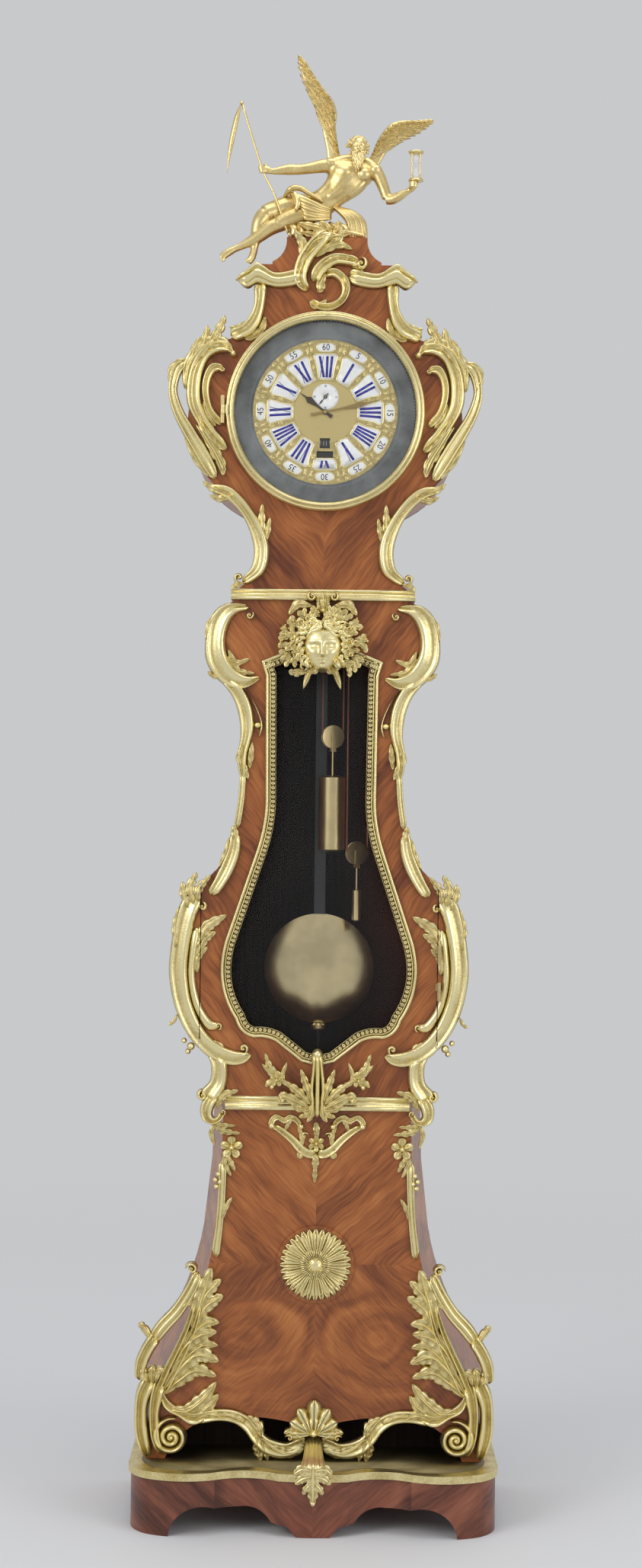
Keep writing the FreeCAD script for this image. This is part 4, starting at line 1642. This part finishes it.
def make_cord(name, pulley_x, pulley_z, sign):
    """Half of the endless cord: from one sheave's top down round the pulley and up to the other's top."""
    radius = float(S.sheave_radius)
    left, right = (DRIVE_LEFT, DRIVE_RIGHT) if sign < 0 else (COUNTER_LEFT, COUNTER_RIGHT)
    slant = math.sqrt(0.5) * radius
    great = spot(S.great_side, CORD_FRONT, GREAT_AT[1])
    winding = spot(WINDING_AT[0], CORD_BACK, WINDING_AT[1])
    low_left = Vector(float(left), float(CORD_FRONT), pulley_z)
    low_right = Vector(float(right), float(CORD_BACK), pulley_z)
    bottom = (low_left + low_right) * 0.5 - Vector(0, 0, PULLEY_SPAN / 2)
    top_left = great + Vector(sign * radius, 0, 0)
    top_right = winding + Vector(sign * radius, 0, 0)
    edges = [Part.Arc(great + Vector(0, 0, radius), great + Vector(sign * slant, 0, slant),
                      top_left).toShape(),
             Part.LineSegment(top_left, low_left).toShape(),
             Part.Arc(low_left, bottom, low_right).toShape(),
             Part.LineSegment(low_right, top_right).toShape(),
             Part.Arc(top_right, winding + Vector(sign * slant, 0, slant),
                      winding + Vector(0, 0, radius)).toShape()]
    path = Part.Wire(edges)
    ring = Part.Wire(Part.makeCircle(float(S.cord_radius), great + Vector(0, 0, radius), Vector(1, 0, 0)))
    tube = path.makePipeShell([ring], True, False)
    expected = math.pi * float(S.cord_radius) ** 2 * path.Length
    print("%s length %.1f mm, volume over section times length %.4f"
          % (name, path.Length, tube.Volume / expected))
    add_shape(name, tube)


# Hinges

HINGE_SHARES = (0.215, 0.29)


def make_hinges(bezel_x, bezel_y):
    """Pins and knuckles on the case and the door's own knuckles."""
    fixed, moving = [], []
    x, y = S.hinge_x, FRONT - S.hinge_reach
    length, radius, pin = S.knuckle_length, S.knuckle_radius, S.pin_radius
    for share in HINGE_SHARES:
        z = TRUNK_BASE + share * S.trunk_height
        lower = Part.makeCylinder(float(radius), float(length), spot(x, y, z - length))
        shaft = Part.makeCylinder(float(pin), 2 * float(length), spot(x, y, z - length))
        bracket = Part.makeBox(float(radius), float(FRONT - y), float(length) * 0.8,
                              spot(x - radius * 0.3, y, z - length * 0.9))
        fixed.append(lower.fuse([shaft, bracket]))
        upper = Part.makeCylinder(float(radius), float(length), spot(x, y, z + S.fit_gap))
        arm = Part.makeBox(float(radius) * 1.3, float(FRONT - y), float(length) * 0.8,
                          spot(x - radius * 1.6, y, z + length * 0.1))
        bore = Part.makeCylinder(float(pin + S.running_gap), 3 * float(length), spot(x, y, z - length))
        moving.append(upper.fuse(arm).cut(bore))
    gap = S.fit_gap
    for rise in (-1.5, 0.5):
        low = DIAL_Z + length * rise + (gap if rise > 0 else -gap)
        knuckle = Part.makeCylinder(float(radius), float(length), spot(bezel_x, bezel_y, low))
        arm = Part.makeBox(float(radius), float(FRONT - bezel_y), float(length) * 0.9,
                           spot(bezel_x - radius * 1.2, bezel_y, low + length * 0.05))
        fixed.append(knuckle.fuse(arm))
    shaft = Part.makeCylinder(float(pin), float(length) * 3, spot(bezel_x, bezel_y, DIAL_Z - length * 1.5))
    fixed[-2] = fixed[-2].fuse([fixed[-1], shaft])
    fixed.pop()
    add_shape("case_hinges", Part.makeCompound(fixed))
    add_shape("door_hinge_leaves", Part.makeCompound(moving))


def main():
    """Build every sub-part, check them and write one file each."""
    make_plinth()
    make_pedestal()
    make_mouldings()
    make_trunk()
    make_hood()
    make_backboard()
    make_door()
    make_bulge_scrolls()
    make_trunk_mounts()
    make_mask()
    make_root_mounts()
    make_crest_rocaille()
    make_rosette()
    make_apron()
    make_figure()
    make_dial()
    axis = make_bezel()
    make_hands()
    make_movement()
    make_seat()
    make_pendulum()
    drive = make_weight("drive", DRIVE_LEFT, DRIVE_RIGHT, S.drive_pulley_drop, S.drive_weight_drop,
                        S.drive_weight_radius, S.drive_weight_height)
    counter = make_weight("counter", COUNTER_LEFT, COUNTER_RIGHT, S.counter_pulley_drop,
                          S.counter_weight_drop, S.counter_weight_radius, S.counter_weight_height)
    make_cord("drive_cord", drive[0], drive[1], -1)
    make_cord("counter_cord", counter[0], counter[1], 1)
    make_hinges(*axis)
    document.recompute()
    for item in document.Objects:
        if "Invalid" in item.State or "Error" in item.State:
            raise RuntimeError("%s failed: %s" % (item.Label, item.State))
    os.makedirs("parts", exist_ok=True)
    for label, item in sorted(nodes.items()):
        shape = item.Shape
        if shape.isNull() or not shape.isValid():
            raise RuntimeError("%s has no valid shape" % label)
        shape.exportStep("parts/%s.step" % label)
        print("%-24s solids %2d volume %10.0f faces %4d"
              % (label, len(shape.Solids), shape.Volume, len(shape.Faces)))


main()
